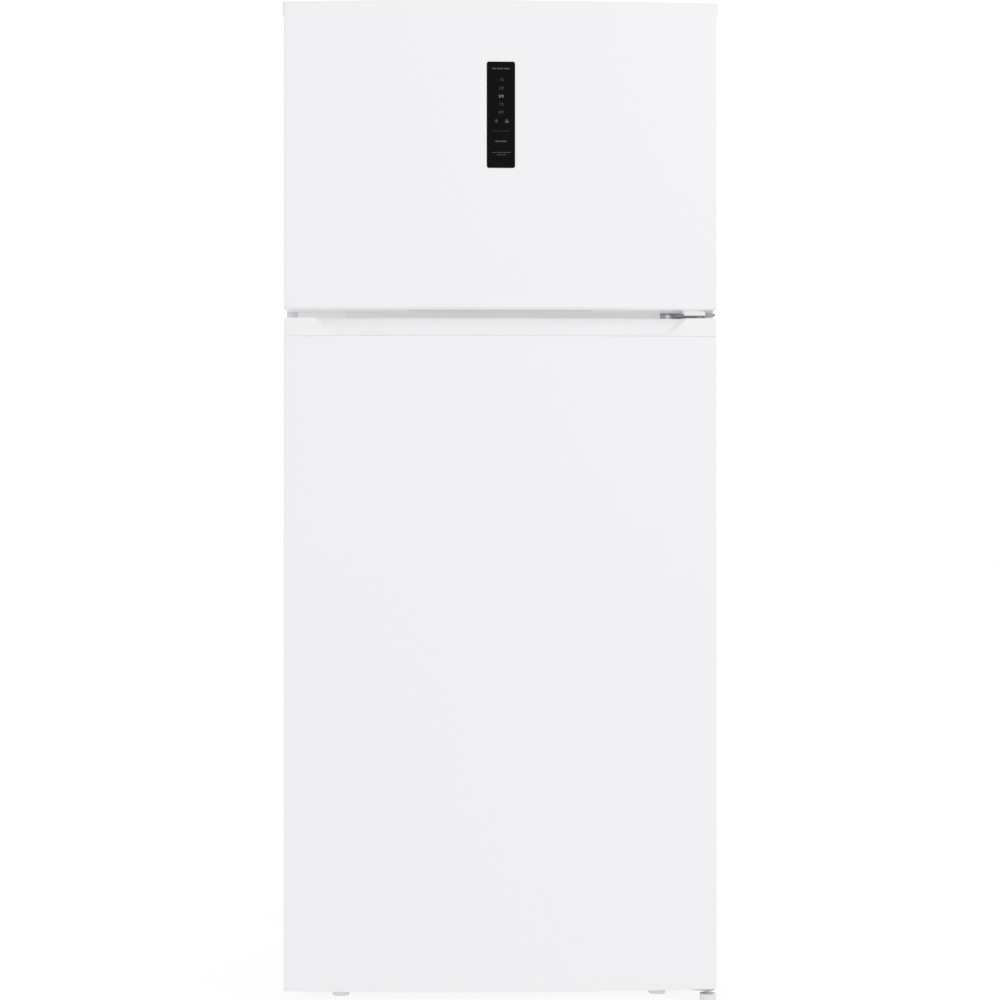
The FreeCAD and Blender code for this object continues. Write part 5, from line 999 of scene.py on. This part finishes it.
def rear_cover():
    """Machine compartment's cover with its rows of upright slots, clear of the lead's gland."""
    lo, hi = low("machine_cover"), high("machine_cover")
    wide, tall = REAR_SLOT
    lefts = low("base_pan")[0] + 45 * MM + np.arange(30) * REAR_PITCH[0]
    lefts = lefts[np.abs(lefts + wide / 2 - GLAND[0]) > GLAND_CLEAR]
    bottoms = lo[2] + 39.5 * MM + np.arange(3) * REAR_PITCH[1]
    slots = [(x, x + wide, z, z + tall) for z in bottoms for x in lefts]
    gland = (GLAND[0] - GLAND_SEAT, GLAND[0] + GLAND_SEAT, GLAND[1] - GLAND_SEAT, GLAND[1] + GLAND_SEAT)
    points, faces = slotted_plate(lo, hi, hi[1], np.array(slots + [gland]))
    louvred("rear_cover_sheet", "machine_cover", points, faces, 0.8 * MM, 1, 0.2 * MM)


duct_cover()
rear_cover()


# ---- turned pieces ----
def circles(profile, centre, axis, sides=64):
    """Circles of each profile radius at each profile height about an axis."""
    angle = np.linspace(0, 2 * math.pi, sides, endpoint=False)
    circle = np.stack([np.cos(angle), np.sin(angle)], 1)
    return [placed(circle * radius, height, centre, axis) for radius, height in profile]


def tyre(node):
    """Hard roller: crowned tread between rounded shoulders, dished sides, a raised hub."""
    lo, hi = low(node), high(node)
    centre = (0, (lo[1] + hi[1]) / 2, (lo[2] + hi[2]) / 2)
    x0, x1, r = lo[0], hi[0], (hi[2] - lo[2]) / 2
    bore, hub, dish, sunk = 3.1 * MM, 5.6 * MM, 11 * MM, 1.5 * MM
    half = [(bore, 0.0), (hub, 0.0), (hub + 0.2 * MM, sunk), (dish - 0.5 * MM, sunk), (dish, 0.0),
            (r - 1.5 * MM, 0.0), (r - 0.4 * MM, 0.5 * MM), (r - 0.1 * MM, 1.6 * MM)]
    profile = [(a, x0 + d) for a, d in half] + [(r, (x0 + x1) / 2)] + [(a, x1 - d) for a, d in half[::-1]]
    return piece(node + "_wheel", *lofted(circles(profile, centre, "X"), torus=True), node, (node,))


def fan_wheel(node):
    """Hub with five blades: each is an aerofoil loop whose pitch falls from root to tip."""
    cy, cz = (low(node)[1] + high(node)[1]) / 2, FAN_HEIGHT
    hub = lofted(circles([(FAN_HUB - 3 * MM, -9 * MM), (FAN_HUB - 0.5 * MM, -8 * MM), (FAN_HUB, -5 * MM),
                          (FAN_HUB, 9 * MM)], (0, cy, cz), "Y"))
    around = np.linspace(0, 2 * math.pi, 24, endpoint=False)
    blades = []
    for turn in np.arange(5) * 2 * math.pi / 5:
        rings = []
        for share in np.linspace(0, 1, 12):
            radius = FAN_HUB - 2 * MM + (FAN_RADIUS - 15 * MM) * share
            chord = (22 + 5 * math.sin(math.pi * share * 0.8)) * MM * (1 - 0.25 * share ** 6)
            pitch = math.radians(62 - 22 * share)
            u = chord / 2 * np.cos(around)
            v = 0.9 * MM * np.sin(around) * (1.1 - np.cos(around)) / 1.1 + 1.5 * MM * (u / chord * 2) ** 2
            across = u * math.sin(pitch) + v * math.cos(pitch)
            along = u * math.cos(pitch) - v * math.sin(pitch)
            theta = turn + across / radius
            rings.append(np.stack([radius * np.cos(theta), cy + np.clip(along, -8.9 * MM, 8.9 * MM),
                                   cz + radius * np.sin(theta)], 1))
        blades.append(lofted(rings))
    return piece("circulation_fan", *joined(hub, *blades), node, (node,))


tyre("roller_left")
tyre("roller_right")
fan_wheel("evaporator_fan")


# ---- smaller moulded and pressed pieces ----
for node in ("upper_door_top_cap", "upper_door_bottom_cap", "lower_door_bottom_cap"):
    refined(node, 0.5 * MM)
for node in ("middle_hinge_cover", "mullion_hinge_blank", "top_hinge_covers"):
    refined(node, 0.8 * MM, 3)
for node in ("middle_hinge", "bottom_hinge", "top_hinge", "hinge_screws", "mullion_bar", "base_pan"):
    refined(node, 0.3 * MM)
for node in ("dairy_flap", "ice_maker_frame", "ice_tray", "fan_motor",
             "compressor", "upper_door_bushes", "lower_door_bushes", "power_inlet", "display_module",
             "compressor_mounts"):
    refined(node, 0.5 * MM)
for node in ("side_panel_left", "side_panel_right", "top_panel", "rear_panel"):
    refined(node, 0.25 * MM)

# ---- materials of the frame pieces that stay ----
for node, thing in frame["nodes"].items():
    thing.data.materials.clear()
    thing.data.materials.append(PAINT[slot_of[node]])


# ---- stage, light and camera ----
def floor_plane():
    mesh = bpy.data.meshes.new("studio_floor")
    half = 60.0
    corners = [(-half, -half, 0), (half, -half, 0), (half, half, 0), (-half, half, 0)]
    mesh.from_pydata(corners, [], [(0, 1, 2, 3)])
    made = bpy.data.objects.new("studio_floor", mesh)
    bpy.context.scene.collection.objects.link(made)
    p = Paint("studio_floor", Roughness=0.9, Specular_IOR_Level=0.0, Emission_Strength=0.87)
    p.link("Base Color", p.mix(p.noise(1.5), (0.14, 0.14, 0.14), (0.15, 0.15, 0.15)))
    p.link("Emission Color", p.mix(p.noise(1.5), (0.995, 0.995, 0.995), (1.0, 1.0, 1.0)))
    mesh.materials.append(p.material)


def area_light(name, place, target, size, power):
    lamp = bpy.data.lights.new(name, "AREA")
    lamp.shape, lamp.size, lamp.size_y, lamp.energy = "RECTANGLE", size[0], size[1], power
    made = bpy.data.objects.new(name, lamp)
    made.location = place
    made.rotation_euler = (Vector(target) - Vector(place)).to_track_quat("-Z", "Y").to_euler()
    bpy.context.scene.collection.objects.link(made)


def studio_world():
    """White surround whose light falls off with the square of the direction's sideways part."""
    world = bpy.data.worlds.new("studio")
    world.use_nodes = True
    surround = Nodes(world.node_tree)
    toward = surround.node("ShaderNodeTexCoord", output="Generated")
    sideways = surround.node("ShaderNodeSeparateXYZ", None, {"Vector": toward}, "X")
    tone = surround.node("ShaderNodeMix", {"data_type": "RGBA"},
                         {0: sideways * sideways, 6: (1, 1, 1, 1), 7: (0.54, 0.54, 0.54, 1)}, 2)
    back = world.node_tree.nodes["Background"]
    back.inputs["Strength"].default_value = 1.09
    surround.tree.links.new(tone.socket, back.inputs["Color"])
    return world


def camera():
    distance, turn = 4.2, math.radians(1.5)
    seen = 1.7375
    aim = Vector((-0.0016, DOOR_FRONT, 0.8814))
    data = bpy.data.cameras.new("camera")
    data.sensor_width = 36.0
    data.lens = 36.0 * distance / seen
    data.clip_end = 100.0
    made = bpy.data.objects.new("camera", data)
    made.location = aim + Vector((-math.sin(turn) * distance, -math.cos(turn) * distance, 0.0))
    made.rotation_euler = (aim - made.location).to_track_quat("-Z", "Y").to_euler()
    bpy.context.scene.collection.objects.link(made)
    bpy.context.scene.camera = made


floor_plane()
bpy.context.scene.world = studio_world()
area_light("front_softbox", (3.2, -2.5, 3.6), (0, 0, 1.3), (2.0, 2.0), 24)
bpy.context.scene.view_settings.view_transform = "Standard"
bpy.context.scene.view_settings.look = "None"
camera()
